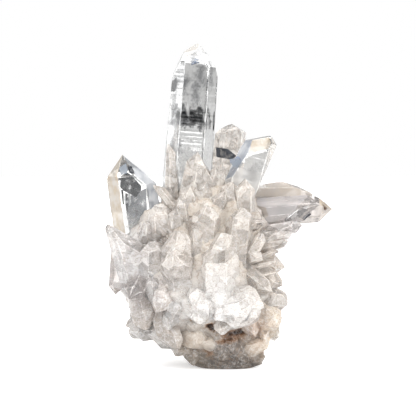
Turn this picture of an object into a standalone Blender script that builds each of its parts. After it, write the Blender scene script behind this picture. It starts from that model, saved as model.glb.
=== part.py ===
"""Quartz crystal cluster: clear points and milky druse grown on a stained quartz matrix.

Metres, +Z up, the cut foot of the matrix on Z = 0 with its middle at the origin. The front of the
cluster faces -Y. Every large crystal that stands free of its neighbours is its own solid, seated in a
socket of the matrix. Crystals that run into each other are joined in one solid.
"""
import math
import random

import bmesh
import bpy
from mathutils import Matrix, Vector
from mathutils.bvhtree import BVHTree

MM = 0.001
SEAT_GAP = 0.3 * MM             # clearance between a crystal and the socket that holds it
FACE_SLOPE = math.radians(51.8)  # quartz: from the long axis to the normal of a termination face
HALF_HEX = math.cos(math.radians(30))  # flat-to-flat over corner-to-corner of a hexagon
BLOCK = 400 * MM                # the uncut block that each crystal is cut from

MATRIX_NAME = "matrix"
# Outline of the matrix under its druse: height, middle in X, half width in X, half depth in Y (mm).
MATRIX_ROWS = (
    (-4.0, 1.5, 9.5, 11.0),
    (0.0, 1.3, 11.6, 13.5),
    (3.0, 0.6, 13.2, 16.5),
    (6.5, -2.2, 18.0, 20.0),
    (11.0, -5.6, 23.4, 23.0),
    (17.5, -5.0, 24.2, 24.4),
    (24.0, -6.8, 23.6, 24.4),
    (30.0, -6.8, 23.4, 23.6),
    (36.0, -6.8, 23.2, 22.4),
    (42.0, -6.6, 22.0, 20.6),
    (48.5, -5.2, 17.6, 18.0),
    (53.0, -3.6, 13.2, 15.5),
    (57.0, -2.6, 8.0, 10.5),
)
MATRIX_RINGS = 18
MATRIX_SIDES = 32
RUGGEDNESS = 0.045              # how far the rock swells and dips, as a share of its half width
TOP_ROUNDING = 3.2              # how soon the rings draw in towards the top; less is rounder
FOOT_ROUNDING = 6.0             # so sharp that the rings keep their full width down to the cut

# The stained hollow under the front of the cluster: middle and half sizes (mm).
HOLLOW_AT = (2.5, -23.4, 10.6)
HOLLOW_HALF = (8.0, 6.4, 3.4)

# The druse: small crystals set over the matrix along an even spiral of directions.
DRUSE_COUNT = 120
DRUSE_FROM = (-4.0, 0.0, 22.0)  # the point that they radiate from (mm)
DRUSE_LOWEST = 14.0             # the rock below this height is bare (mm)
DRUSE_LENGTH = (2.8, 6.0)       # how far one stands out of the rock (mm)
DRUSE_RADIUS = (1.8, 3.4)
DRUSE_DEPTH = 3.0
DRUSE_CLEARANCE = 2.0           # kept between a druse crystal's middle and a large crystal's side
DRUSE_SEED = 7

# Large crystals. Root and tip are the ends of the long axis (mm); half is the half width across
# the corners and the half thickness; apex is how far the point sits off the axis, as a share of
# each half; chip is how much of the point is broken off (mm); roll and taper are in degrees.
CRYSTALS = {
    "main_point": dict(root=(-12.3, 0.0, 42.0), tip=(-8.0, -0.8, 101.6), half=(7.9, 7.3),
                       apex=(-0.06, -0.05), chip=1.5, roll=4, taper=1.0),
    "left_point": dict(root=(-26.2, 4.4, 41.5), tip=(-29.6, 2.4, 66.0), half=(8.2, 7.0),
                       apex=(-0.2, -0.1), chip=0.0, roll=2, taper=0.6),
    "lower_left_point": dict(root=(-26.6, -11.6, 31.5), tip=(-30.7, -13.6, 46.6), half=(6.3, 5.0),
                             apex=(-0.72, 0.0), chip=0.5, roll=6, taper=0.5),
    "low_left_prism": dict(root=(-28.4, -2.2, 35.4), tip=(-32.6, -5.6, 22.4), half=(3.2, 3.4),
                           apex=(0.2, 0.0), chip=0.7, roll=0, taper=1.5),
    "knob_crystal": dict(root=(-24.9, -12.0, 26.6), tip=(-28.2, -21.8, 20.4), half=(3.3, 3.9),
                         apex=(0.0, 0.2), chip=0.5, roll=12, taper=3.0),
    "arched_stub": dict(root=(-18.8, -9.8, 38.5), tip=(-19.4, -14.4, 52.2), half=(3.8, 3.7),
                        apex=(0.0, 0.0), chip=1.2, roll=8, taper=2.0),
    "back_point": dict(root=(0.6, 13.0, 50.0), tip=(3.6, 14.6, 75.2), half=(5.2, 4.6),
                       apex=(0.1, 0.0), chip=0.9, roll=10, taper=1.0),
    "blade_crystal": dict(root=(6.2, -1.8, 52.4), tip=(13.2, -0.8, 71.8), half=(6.6, 4.0),
                          apex=(0.42, 0.1), chip=0.8, roll=-12, taper=-0.5),
    "cream_crystal": dict(root=(6.6, -9.2, 48.8), tip=(7.0, -11.6, 58.8), half=(3.9, 2.9),
                          apex=(0.0, 0.0), chip=0.3, roll=0, taper=3.0),
    "left_front_crystal": dict(root=(-12.2, -12.0, 25.5), tip=(-15.2, -24.8, 37.2), half=(5.6, 5.0),
                               apex=(0.0, -0.2), chip=0.6, roll=6, taper=2.0),
    "rear_left_point": dict(root=(-15.0, 12.0, 32.0), tip=(-20.6, 25.2, 49.0), half=(4.8, 4.4),
                            apex=(0.1, 0.1), chip=0.4, roll=5, taper=1.5),
    "rear_right_point": dict(root=(5.0, 12.6, 32.0), tip=(12.4, 27.4, 42.4), half=(4.4, 4.0),
                             apex=(-0.1, 0.2), chip=0.4, roll=-8, taper=1.5),
    "rear_low_point": dict(root=(-7.0, 14.0, 19.0), tip=(-9.6, 29.6, 22.6), half=(4.2, 3.8),
                           apex=(0.2, 0.1), chip=0.3, roll=15, taper=2.0),
}
# Crystals grown into each other. Each group is one solid.
GROUPS = {
    "right_group": (
        dict(root=(6.4, 7.4, 51.4), tip=(28.0, 5.6, 53.8), half=(3.6, 4.0),
             apex=(0.5, 0.0), chip=0.3, roll=0, taper=0.5),
        dict(root=(8.4, 4.2, 46.4), tip=(34.9, 1.6, 49.0), half=(3.3, 5.2),
             apex=(0.1, 0.0), chip=0.3, roll=8, taper=1.0),
        dict(root=(8.6, -2.6, 44.8), tip=(30.6, -5.0, 51.6), half=(3.8, 3.4),
             apex=(-0.2, 0.1), chip=0.4, roll=-6, taper=2.0),
        dict(root=(8.0, -3.0, 40.6), tip=(25.0, -4.0, 43.9), half=(2.3, 3.6),
             apex=(0.0, 0.0), chip=0.3, roll=10, taper=2.0),
    ),
    "front_group": (
        dict(root=(-1.2, -12.0, 20.5), tip=(-0.6, -25.4, 38.0), half=(6.4, 5.6),
             apex=(0.1, -0.1), chip=0.5, roll=0, taper=0.8),
        dict(root=(5.2, -11.0, 19.6), tip=(5.8, -28.4, 17.4), half=(6.9, 5.2),
             apex=(-0.2, 0.3), chip=0.4, roll=18, taper=1.0),
        dict(root=(-5.0, -12.0, 19.2), tip=(-8.6, -26.6, 20.2), half=(4.6, 4.8),
             apex=(0.2, 0.1), chip=0.8, roll=25, taper=1.5),
    ),
}

# Colour (linear) and roughness of each kind of quartz here.
CLEAR = ((0.78, 0.80, 0.80, 1.0), 0.08)
MILKY = ((0.72, 0.68, 0.62, 1.0), 0.35)
ROCK = ((0.56, 0.49, 0.42, 1.0), 0.6)
MILKY_CRYSTALS = ("cream_crystal", "left_front_crystal", "front_group", "rear_low_point")


def vector_mm(values):
    """A vector in metres from millimetres."""
    return Vector(values) * MM


def frame_along(root, tip):
    """A matrix whose Z runs from root to tip and whose Y points to the back of the cluster."""
    along = (tip - root).normalized()
    back = Vector((0, 1, 0))
    if abs(along.dot(back)) > 0.75:
        back = Vector((0, 0, 1))
    side = back.cross(along).normalized()
    back = along.cross(side)
    turn = Matrix((side, back, along)).transposed()
    return Matrix.Translation(root) @ turn.to_4x4()


def cut_face(bm, point, normal):
    """Cuts away everything on the normal's side of a plane, and closes the cut with a face."""
    geometry = bm.verts[:] + bm.edges[:] + bm.faces[:]
    bmesh.ops.bisect_plane(bm, geom=geometry, dist=1e-7, plane_co=point, plane_no=normal,
                           clear_outer=True)
    open_edges = [edge for edge in bm.edges if edge.is_boundary]
    if open_edges:
        bmesh.ops.holes_fill(bm, edges=open_edges, sides=0)


def crystal_bmesh(root, tip, half, apex, chip, roll, taper, grow=0.0):
    """One crystal, cut face by face from a block: foot, six prism faces, six end faces, chip.

    grow moves every face outwards, which makes the socket for the same crystal.
    """
    start = vector_mm(root)
    end = vector_mm(tip)
    length = (end - start).length
    half_x = half[0] * MM
    half_y = half[1] * MM
    point = Vector((apex[0] * half_x, apex[1] * half_y, length))
    bm = bmesh.new()
    bmesh.ops.create_cube(bm, size=BLOCK)
    cut_face(bm, Vector((0, 0, -grow)), Vector((0, 0, -1)))
    lean = math.radians(taper)
    for side in range(6):
        angle = math.radians(30 + roll + 60 * side)
        reach = HALF_HEX * math.hypot(half_x * math.cos(angle), half_y * math.sin(angle)) + grow
        outward = Vector((math.cos(angle), math.sin(angle), 0))
        normal = (outward * math.cos(lean) + Vector((0, 0, math.sin(lean)))).normalized()
        cut_face(bm, outward * reach, normal)
        rise = outward * math.sin(FACE_SLOPE) + Vector((0, 0, math.cos(FACE_SLOPE)))
        cut_face(bm, point + rise * grow, rise)
    if chip > 0:
        top = Vector((0.12, -0.3, 1.0)).normalized()
        cut_face(bm, point - Vector((0, 0, chip * MM)) + top * grow, top)
    bm.transform(frame_along(start, end))
    return bm


def material(name, look):
    """A Principled material with a plain colour and roughness."""
    colour, roughness = look
    made = bpy.data.materials.new(name)
    made.use_nodes = True
    shader = made.node_tree.nodes["Principled BSDF"]
    shader.inputs["Base Color"].default_value = colour
    shader.inputs["Roughness"].default_value = roughness
    shader.inputs["Metallic"].default_value = 0.0
    made.diffuse_color = colour
    return made


def add_object(name, bm, collection, look=None):
    """Turns a bmesh into an object in a collection, with its own material."""
    mesh = bpy.data.meshes.new(name)
    bm.to_mesh(mesh)
    bm.free()
    obj = bpy.data.objects.new(name, mesh)
    collection.objects.link(obj)
    if look is not None:
        mesh.materials.append(material(name, look))
    return obj


def add_helper(name, bm, collection):
    """An object that only cuts or joins others."""
    obj = add_object(name, bm, collection)
    obj.hide_render = True
    obj.display_type = "WIRE"
    return obj


def combine(obj, collection, operation):
    """Joins a collection's objects to obj, or cuts them out of it."""
    step = obj.modifiers.new(operation.lower() + " " + collection.name, "BOOLEAN")
    step.operand_type = "COLLECTION"
    step.collection = collection
    step.operation = operation
    step.solver = "EXACT"


def row_at(height):
    """The matrix outline at a height (mm): middle in X, half width, half depth."""
    below = MATRIX_ROWS[0]
    for row in MATRIX_ROWS[1:]:
        if height <= row[0]:
            share = (height - below[0]) / (row[0] - below[0])
            return [a + (b - a) * share for a, b in zip(below[1:], row[1:])]
        below = row
    return list(MATRIX_ROWS[-1][1:])


def matrix_bmesh():
    """The rock: a sphere's rings pushed out to the outline, roughened, then cut flat at the foot."""
    low = MATRIX_ROWS[0][0]
    high = MATRIX_ROWS[-1][0]
    bm = bmesh.new()
    bmesh.ops.create_uvsphere(bm, u_segments=MATRIX_SIDES, v_segments=MATRIX_RINGS, radius=1.0)
    for vert in bm.verts:
        latitude = math.asin(max(-1.0, min(1.0, vert.co.z)))
        share = 0.5 + latitude / math.pi
        height = low + (high - low) * share
        middle, wide, deep = row_at(height)
        turn = math.atan2(vert.co.y, vert.co.x)
        rounding = TOP_ROUNDING if latitude > 0 else FOOT_ROUNDING
        close = min(1.0, math.cos(latitude) * rounding)
        swell = 1 + RUGGEDNESS * (math.sin(5 * turn + 0.21 * height) + math.sin(3 * turn - 0.33 * height))
        x = middle + wide * swell * close * math.cos(turn)
        y = deep * swell * close * math.sin(turn)
        vert.co = vector_mm((x, y, height + 2.0 * (1 - close)))
    cut_face(bm, Vector((0, 0, 0)), Vector((0, 0, -1)))
    return bm


def hollow_bmesh():
    """The hollow under the front: a coarse ball, wider than high."""
    bm = bmesh.new()
    bmesh.ops.create_icosphere(bm, subdivisions=2, radius=1.0)
    size = Matrix.Diagonal(vector_mm(HOLLOW_HALF)).to_4x4()
    bm.transform(Matrix.Translation(vector_mm(HOLLOW_AT)) @ size)
    return bm


def all_large_crystals():
    """Every large crystal's dimensions, single ones and those in groups."""
    singles = list(CRYSTALS.values())
    grouped = [size for group in GROUPS.values() for size in group]
    return singles + grouped


def distance_to_axis(place, size):
    """How far a place is from a crystal's long axis, less the crystal's half width."""
    start = vector_mm(size["root"])
    along = vector_mm(size["tip"]) - start
    share = max(0.0, min(1.0, (place - start).dot(along) / along.length_squared))
    return (place - start - along * share).length - max(size["half"]) * MM


def druse_sizes(rock):
    """Dimensions of the small crystals, spread over the rock where no large crystal stands."""
    chance = random.Random(DRUSE_SEED)
    tree = BVHTree.FromBMesh(rock)
    middle = vector_mm(DRUSE_FROM)
    golden = math.pi * (3 - math.sqrt(5))
    sizes = []
    for number in range(DRUSE_COUNT):
        z = 1 - 2 * (number + 0.5) / DRUSE_COUNT
        ring = math.sqrt(1 - z * z)
        ray = Vector((ring * math.cos(golden * number), ring * math.sin(golden * number), z))
        length = chance.uniform(*DRUSE_LENGTH)
        radius = chance.uniform(*DRUSE_RADIUS)
        lean = Vector([chance.uniform(-0.35, 0.35) for _ in range(3)])
        roll = chance.uniform(0, 60)
        place, normal, _, _ = tree.ray_cast(middle, ray)
        if place is None or place.z < DRUSE_LOWEST * MM:
            continue
        along = (normal + lean + Vector((0, 0, 0.35))).normalized()
        tip = place + along * length * MM
        clear = [min(distance_to_axis(place, size), distance_to_axis(tip, size))
                 for size in all_large_crystals()]
        if min(clear) < DRUSE_CLEARANCE * MM:
            continue
        root = place - along * DRUSE_DEPTH * MM
        sizes.append(dict(root=root / MM, tip=tip / MM, half=(radius, radius * 0.85),
                          apex=(lean.x, lean.y), chip=0.0, roll=roll, taper=2.0))
    return sizes


def build():
    """Makes the cluster."""
    for obj in list(bpy.data.objects):
        bpy.data.objects.remove(obj, do_unlink=True)
    scene = bpy.context.scene
    cluster = bpy.data.collections.new("quartz crystal cluster")
    sockets = bpy.data.collections.new("sockets")
    druse = bpy.data.collections.new("druse")
    hollows = bpy.data.collections.new("hollows")
    for collection in (cluster, sockets, druse, hollows):
        scene.collection.children.link(collection)

    for name, size in CRYSTALS.items():
        look = MILKY if name in MILKY_CRYSTALS else CLEAR
        add_object(name, crystal_bmesh(**size), cluster, look)
        add_helper(name + " socket", crystal_bmesh(**size, grow=SEAT_GAP), sockets)

    for name, group in GROUPS.items():
        look = MILKY if name in MILKY_CRYSTALS else CLEAR
        grown = bpy.data.collections.new(name + " members")
        scene.collection.children.link(grown)
        joined = add_object(name, crystal_bmesh(**group[0]), cluster, look)
        for number, size in enumerate(group):
            label = name + " " + str(number)
            if number:
                add_helper(label, crystal_bmesh(**size), grown)
            add_helper(label + " socket", crystal_bmesh(**size, grow=SEAT_GAP), sockets)
        combine(joined, grown, "UNION")

    rock = matrix_bmesh()
    for number, size in enumerate(druse_sizes(rock)):
        add_helper("druse " + str(number), crystal_bmesh(**size), druse)
    add_helper("hollow", hollow_bmesh(), hollows)
    matrix = add_object(MATRIX_NAME, rock, cluster, ROCK)
    combine(matrix, hollows, "DIFFERENCE")
    combine(matrix, druse, "UNION")
    combine(matrix, sockets, "DIFFERENCE")


build()
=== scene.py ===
# %% [markdown]
# # A quartz crystal cluster
# The object is a hand specimen: clear quartz points, a crust of small milky crystals (the druse) and the
# rough, iron-stained quartz that they all grew on. Nothing on it moves, so every piece rides on one body.
# The lesson goes from the outside in: frame, camera and studio first, then one function that grows a
# crystal from its faces, then the big points, the druse, the rock, and last what is sealed in the crystals.

# %% Load the frame
import math

import bpy
import numpy as np
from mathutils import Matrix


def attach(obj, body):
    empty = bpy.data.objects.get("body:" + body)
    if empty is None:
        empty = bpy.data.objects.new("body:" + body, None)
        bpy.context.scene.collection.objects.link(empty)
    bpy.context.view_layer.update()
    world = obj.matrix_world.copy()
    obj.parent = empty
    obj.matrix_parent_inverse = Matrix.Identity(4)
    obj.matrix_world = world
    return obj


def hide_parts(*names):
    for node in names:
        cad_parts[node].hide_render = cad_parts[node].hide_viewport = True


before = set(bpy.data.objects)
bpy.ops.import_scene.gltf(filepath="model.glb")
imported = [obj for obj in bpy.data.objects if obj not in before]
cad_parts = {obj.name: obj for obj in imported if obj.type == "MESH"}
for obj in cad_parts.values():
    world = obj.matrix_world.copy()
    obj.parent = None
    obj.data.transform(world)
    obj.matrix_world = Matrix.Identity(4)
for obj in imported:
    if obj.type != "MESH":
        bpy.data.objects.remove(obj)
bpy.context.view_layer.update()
MM = 0.001

# %% [markdown]
# ## Small tools
# Every colour is written as sRGB hex and turned into the linear numbers that shaders want. One function
# adds any shader node, and the short ones after it name the few kinds that all materials are made of. The
# last two turn arrays of points and faces into a piece that rides on the frame.

# %% Colours


def linear(hex_colour):
    """sRGB hex to linear RGBA: c / 12.92 below 0.04045, and ((c + 0.055) / 1.055) ** 2.4 above it."""
    c = np.array([int(hex_colour[i:i + 2], 16) for i in (1, 3, 5)]) / 255
    low = c / 12.92
    high = ((c + 0.055) / 1.055) ** 2.4
    return tuple(np.where(c <= 0.04045, low, high)) + (1.0,)


# %% Nodes


def add(tree, kind, inputs=(), **settings):
    """Adds one node. Settings are its own options. Each input is a plain value or another node's output."""
    made = tree.nodes.new("ShaderNode" + kind)
    for key, value in settings.items():
        setattr(made, key, value)
    for key, value in dict(inputs).items():
        if isinstance(value, bpy.types.NodeSocket):
            tree.links.new(value, made.inputs[key])
        else:
            made.inputs[key].default_value = value
    return made


def maths(tree, operation, *terms, kind="Math", **settings):
    """An operation on one to three terms, numbers or outputs; with kind VectorMath, on vectors."""
    return add(tree, kind, enumerate(terms), operation=operation, **settings).outputs[0]


def fit(tree, value, low, high, to_low, to_high, **settings):
    """A value brought from one range to another: low becomes to_low, high becomes to_high, no further."""
    return add(tree, "MapRange", {"Value": value, "From Min": low, "From Max": high, "To Min": to_low,
                                  "To Max": to_high}, **settings).outputs[0]


def noise(tree, place, scale, detail, rough=0.5, twist=0.0, output="Fac"):
    """A noise about 1 m / scale in size; finer ones are added to it up to detail, weighed by rough."""
    return add(tree, "TexNoise", {"Vector": place, "Scale": scale, "Detail": detail, "Roughness": rough,
                                  "Distortion": twist}).outputs[output]


def stored(tree, name, output="Fac"):
    """A value that the mesh holds for each point or face."""
    return add(tree, "Attribute", attribute_name=name, attribute_type="GEOMETRY").outputs[output]


def blend(tree, amount, first, second):
    """A mix of two colours: the first where the amount is 0, the second where it is 1."""
    return add(tree, "Mix", {"Factor": amount, "A": first, "B": second}, data_type="RGBA").outputs["Result"]


def new_material(name):
    """A node material, its tree, and an output with the place (m) of the point that is shaded."""
    made = bpy.data.materials.new(name)
    made.use_nodes = True
    tree = made.node_tree
    tree.nodes.clear()
    return made, tree, add(tree, "TexCoord").outputs["Object"]


def surface(tree, inputs):
    """Closes a material: its surface shader with these inputs."""
    shader = add(tree, "BsdfPrincipled", inputs)
    add(tree, "OutputMaterial", {"Surface": shader.outputs[0]})


# %% Pieces


def into_scene(name, data):
    """An object of a mesh, lamp or camera, put into the scene."""
    made = bpy.data.objects.new(name, data)
    bpy.context.scene.collection.objects.link(made)
    return made


def make_piece(name, points, faces, finish, slot, nodes, sharp_deg=18.0, **values):
    """A mesh piece from points in metres and face index lists, shaded flat across its sharp edges.

    Each of the values is an array with one number, or one colour, for each point, or for each face where its
    name is facet or coat. It becomes an attribute of the mesh with that name, for the material to read. A
    coat below zero is painted shade.
    """
    mesh = bpy.data.meshes.new(name)
    mesh.from_pydata(points.tolist(), [], faces)
    for key, value in values.items():
        value = np.asarray(value, dtype=np.float32)
        colour = value.ndim == 2
        layer = mesh.attributes.new(key, "FLOAT_COLOR" if colour else "FLOAT",
                                    "FACE" if key in ("facet", "coat_and_shade") else "POINT")
        layer.data.foreach_set("color" if colour else "value", value.ravel())
    mesh.materials.append(finish)
    mesh.shade_smooth()
    mesh.set_sharp_from_angle(angle=math.radians(sharp_deg))
    mesh.validate()
    made = into_scene(name, mesh)
    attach(made, "root")
    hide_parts(*nodes)
    low, high = (edge.round(1) for edge in (points.min(0) / MM, points.max(0) / MM))
    print(name, len(mesh.vertices), "points,", len(mesh.polygons), "faces, from", low, "to", high, "mm")


# %% [markdown]
# ## Camera
# A long lens from a little above the foot keeps the crystals' edges nearly parallel. The lens follows from
# the width that the picture has to hold and from how far away the camera stands.

# %% Camera
PICTURE_WIDTH = 129.6 * MM      # what the picture spans at the cluster
CAMERA_DISTANCE = 620 * MM
CAMERA_RISE = math.radians(3.0)
LOOK_AT = np.array([-4.4, -2.0, 49.2]) * MM
SENSOR = 36.0

camera_data = bpy.data.cameras.new("camera")
camera_data.sensor_width = SENSOR
camera_data.lens = SENSOR * CAMERA_DISTANCE / PICTURE_WIDTH
camera_data.clip_start = 0.01
camera_data.clip_end = 20.0
camera = into_scene("camera", camera_data)
back_off = np.array([0.0, -math.cos(CAMERA_RISE), math.sin(CAMERA_RISE)])
camera.location = LOOK_AT + CAMERA_DISTANCE * back_off
camera.rotation_euler = (math.pi / 2 - CAMERA_RISE, 0.0, 0.0)
bpy.context.scene.camera = camera
print("lens", round(camera_data.lens, 1), "mm")

# %% [markdown]
# ## Studio
# Clear quartz has no colour of its own: it shows the room, bent. A white tent alone would make it vanish,
# so dark cards hang in the tent, and the crystal's faces pick them up as grey and black patches with crisp
# edges. Here the tent is the world and the cards are soft-edged dark discs in it. The
# camera itself sees plain white behind the cluster.

# %% World and cards
TENT_LIGHT = 0.70
TENT_TOP = 1.0                  # how much of the tent's light is left straight above
TENT_FOOT = 0.55                # and straight below
MATT_LIGHT = 1.86               # the tent's light on the milky parts from above
MATT_FOOT = 1.56                # and from below
CARD_BLUR = 0.03                # how soft a card's edge is, as a step in the cosine of its half angle
# Each card: direction it hangs in, its half angle in degrees, and what it does to the light there: below 1
# it is a dark card, above 1 a lamp behind the tent's cloth.
CARDS = (
    ((0.0, -1.0, 0.05), 30.0, 0.06),
    ((0.95, 0.05, -0.10), 26.0, 0.30),
    ((-0.97, 0.10, 0.0), 24.0, 0.32),
    ((0.15, 0.75, -0.45), 14.0, 0.10),
    ((-0.55, -0.45, 0.75), 20.0, 1.6),
    ((0.75, -0.15, 0.60), 16.0, 1.5),
)

world = bpy.data.worlds.new("studio")
world.use_nodes = True
sky = world.node_tree
sky.nodes.clear()
toward = add(sky, "TexCoord").outputs["Generated"]
rise = add(sky, "SeparateXYZ", {0: toward}).outputs["Z"]
light = fit(sky, rise, -1.0, 1.0, TENT_LIGHT * TENT_FOOT, TENT_LIGHT * TENT_TOP)
for aim, half_angle, left in CARDS:
    aim = [v / math.hypot(*aim) for v in aim]
    facing = add(sky, "VectorMath", {0: toward, 1: aim}, operation="DOT_PRODUCT").outputs["Value"]
    edge = math.cos(math.radians(half_angle))
    shade = fit(sky, facing, edge - CARD_BLUR, edge + CARD_BLUR, 1.0, left, interpolation_type="SMOOTHSTEP")
    light = maths(sky, "MULTIPLY", light, shade)
ray = add(sky, "LightPath").outputs
even = fit(sky, rise, -1.0, 1.0, MATT_FOOT, MATT_LIGHT)
parted = add(sky, "Mix", {"Factor": ray["Is Diffuse Ray"], "A": light, "B": even}).outputs["Result"]
level = add(sky, "Mix", {"Factor": ray["Is Camera Ray"], "A": parted, "B": 1.0}).outputs["Result"]
glow = add(sky, "Background", {"Color": linear("#ffffff"), "Strength": level})
add(sky, "OutputWorld", {"Surface": glow.outputs[0]})
bpy.context.scene.world = world
bpy.context.scene.view_settings.view_transform = "Standard"
print("tent with", len(CARDS), "cards")

# %% [markdown]
# ## Lamps
# The tent gives nearly all of the light. A soft key from the upper left and a weak fill from the right only
# add small highlights on the glassy edges and a faint shadow. Both are area lamps, as real softboxes are.
# They are hidden from rays that pass through the quartz, so that no bright square shows inside a crystal.

# %% Lamps
LAMP_AIM = np.array([0.0, 0.0, 45.0])   # mm, the middle of the cluster


def softbox(name, place, size, watts):
    """A square area lamp (mm) that faces LAMP_AIM, and that glass reflects but doesn't show."""
    data = bpy.data.lights.new(name, "AREA")
    data.size = size * MM
    data.energy = watts
    lamp = into_scene(name, data)
    lamp.location = np.array(place) * MM
    aim = LAMP_AIM - place
    lamp.rotation_euler = (math.acos(-aim[2] / np.linalg.norm(aim)), 0.0,
                           math.atan2(aim[1], aim[0]) - math.pi / 2)
    lamp.visible_transmission = False
    print(name, "lamp,", watts, "W, from", place, "mm")


softbox("key", (-260.0, -330.0, 420.0), 260.0, 0.95)
softbox("fill", (380.0, -220.0, 160.0), 220.0, 0.6)

# %% [markdown]
# ## Floor
# The cluster stands on a sheet of white paper. It is one flat disc, a tenth of a millimetre below the
# foot, and it glows a little towards the camera, so its edge runs into the white tent behind it. It belongs
# to the stage and not to the object.

# %% Floor
FLOOR_RADIUS = 1.6              # m
FLOOR_SIDES = 96
FLOOR_DROP = 0.1 * MM
FLOOR_GLOW = 0.42               # what the paper adds to the light that the camera gets from it

turns = np.linspace(0, 2 * np.pi, FLOOR_SIDES, endpoint=False)
rim = np.stack([FLOOR_RADIUS * np.cos(turns), FLOOR_RADIUS * np.sin(turns), 0 * turns - FLOOR_DROP], -1)
floor_mesh = bpy.data.meshes.new("floor")
floor_mesh.from_pydata(rim.tolist(), [], [list(range(FLOOR_SIDES))])
paper, paper_tree, _ = new_material("white paper sweep")
seen = add(paper_tree, "LightPath").outputs["Is Camera Ray"]
surface(paper_tree, {"Base Color": linear("#f2f2f2"), "Roughness": 0.9, "Emission Color": linear("#ffffff"),
                     "Emission Strength": maths(paper_tree, "MULTIPLY", seen, FLOOR_GLOW)})
floor_mesh.materials.append(paper)
into_scene("floor", floor_mesh)

# %% [markdown]
# ## Growing a crystal
# A quartz crystal is bounded by six prism faces and, at its point, by six sloping faces. Cut it across its
# long axis at any height and the slice is a six-sided outline, whose sides stand at known distances from
# the axis. So the surface is a grid: one direction runs up the axis, the other round the outline. Working
# from the slices keeps every facet flat and every edge crisp, and lets fine growth steps be added to the
# distances. Booleans of half spaces would give the same flat faces, but no such steps.

# %% Slices
FACE_SLOPE = math.radians(51.8)   # from the long axis to the normal of a sloping face
HALF_HEX = math.cos(math.radians(30))
SIDES = 6


def slice_corners(reach, turn):
    """Corners of six-sided slices. Side i is the line n_i . x = reach_i, with n_i = (cos, sin) of turn_i.

    A side that its neighbours cut off is drawn in until reach_i = reach_(i-1) + reach_(i+1), where it
    touches their corner. Corner i is n_i reach_i + t_i (reach_(i+1) - reach_i cos 60) / sin 60.
    """
    for _ in range(3):
        reach = np.minimum(reach, np.roll(reach, 1, -1) + np.roll(reach, -1, -1))
    step = (np.roll(reach, -1, -1) - 0.5 * reach) / math.sin(math.radians(60))
    x = reach * np.cos(turn) - step * np.sin(turn)
    y = reach * np.sin(turn) + step * np.cos(turn)
    return np.stack([x, y], -1)


def axis_frame(root, tip):
    """Columns side, back, along: along runs from root to tip, and back is turned towards +Y."""
    along = tip - root
    along = along / np.linalg.norm(along, axis=-1, keepdims=True)
    back = np.where(np.abs(along[..., 1:2]) > 0.75, [0.0, 0.0, 1.0], [0.0, 1.0, 0.0])
    side = np.cross(back, along)
    side = side / np.linalg.norm(side, axis=-1, keepdims=True)
    back = np.cross(along, side)
    return np.stack([side, back, along], -1)


def reaches(length, half, apex, roll, taper, height):
    """Distance of the six sides from the axis at each height (mm): the lower of prism and sloping face.

    Prism: cos 30 * |(half_x cos t, half_y sin t)| - height tan taper.
    Sloping: apex . n + (length - height) / tan slope.
    """
    turn = np.radians(30 + np.asarray(roll)[..., None] + 60.0 * np.arange(SIDES))
    ux = np.cos(turn)
    uy = np.sin(turn)
    flat = HALF_HEX * np.hypot(half[..., 0:1] * ux, half[..., 1:2] * uy)
    point = apex[..., 0:1] * half[..., 0:1] * ux + apex[..., 1:2] * half[..., 1:2] * uy
    lean = np.tan(np.radians(np.asarray(taper)))[..., None]
    slope = 1 / math.tan(FACE_SLOPE)
    shoulder = (point + np.asarray(length)[..., None] * slope - flat) / (slope - lean)
    prism = flat[..., None, :] - height[..., :, None] * lean[..., None, :]
    sloping = point[..., None, :] + (np.asarray(length)[..., None, None] - height[..., :, None]) * slope
    return turn, shoulder, prism, sloping


def ring_faces(rows, columns, count=1):
    """Faces of count tubes of rows x columns points, each with a foot pole and a tip pole after its rows."""
    i = np.arange(rows - 1)[:, None] * columns
    j = np.arange(columns)
    k = (j + 1) % columns
    last = (rows - 1) * columns
    pole = np.full(columns, rows * columns)
    quads = np.stack([i + j, i + k, i + columns + k, i + columns + j], -1).reshape(-1, 4)
    caps = np.concatenate([np.stack([pole, k, j], -1), np.stack([pole + 1, last + j, last + k], -1)])
    faces = []
    for n in range(count):
        start = n * (rows * columns + 2)
        faces += (quads + start).tolist() + (caps + start).tolist()
    return faces


# %% [markdown]
# The faces of a real prism are never quite flat. As the crystal grew, each layer stopped a little short of
# the last, which leaves fine steps straight across the face. They are what makes a clear crystal glitter.

# %% Grow crystals
STEP_LEVELS = 64                # how many random levels a face runs through before they repeat


def growth_steps(height, rng, depth):
    """Steps across the prism faces (mm): a random level is held over each pitch of 0.5 to 1.4 mm."""
    count = len(height)
    pitch = rng.uniform(0.5, 1.4, (count, 1, SIDES))
    level = rng.uniform(-1, 1, (count, STEP_LEVELS, SIDES))
    number = (height[..., None] / pitch).astype(int) % STEP_LEVELS
    return depth * np.take_along_axis(level, number, 1)


ANCHOR = 0.55                   # where on the axis the chips are drawn to, as a share of the height
EDGE_SHARE = 0.35               # the most of a narrow side that a bevel may take


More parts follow.
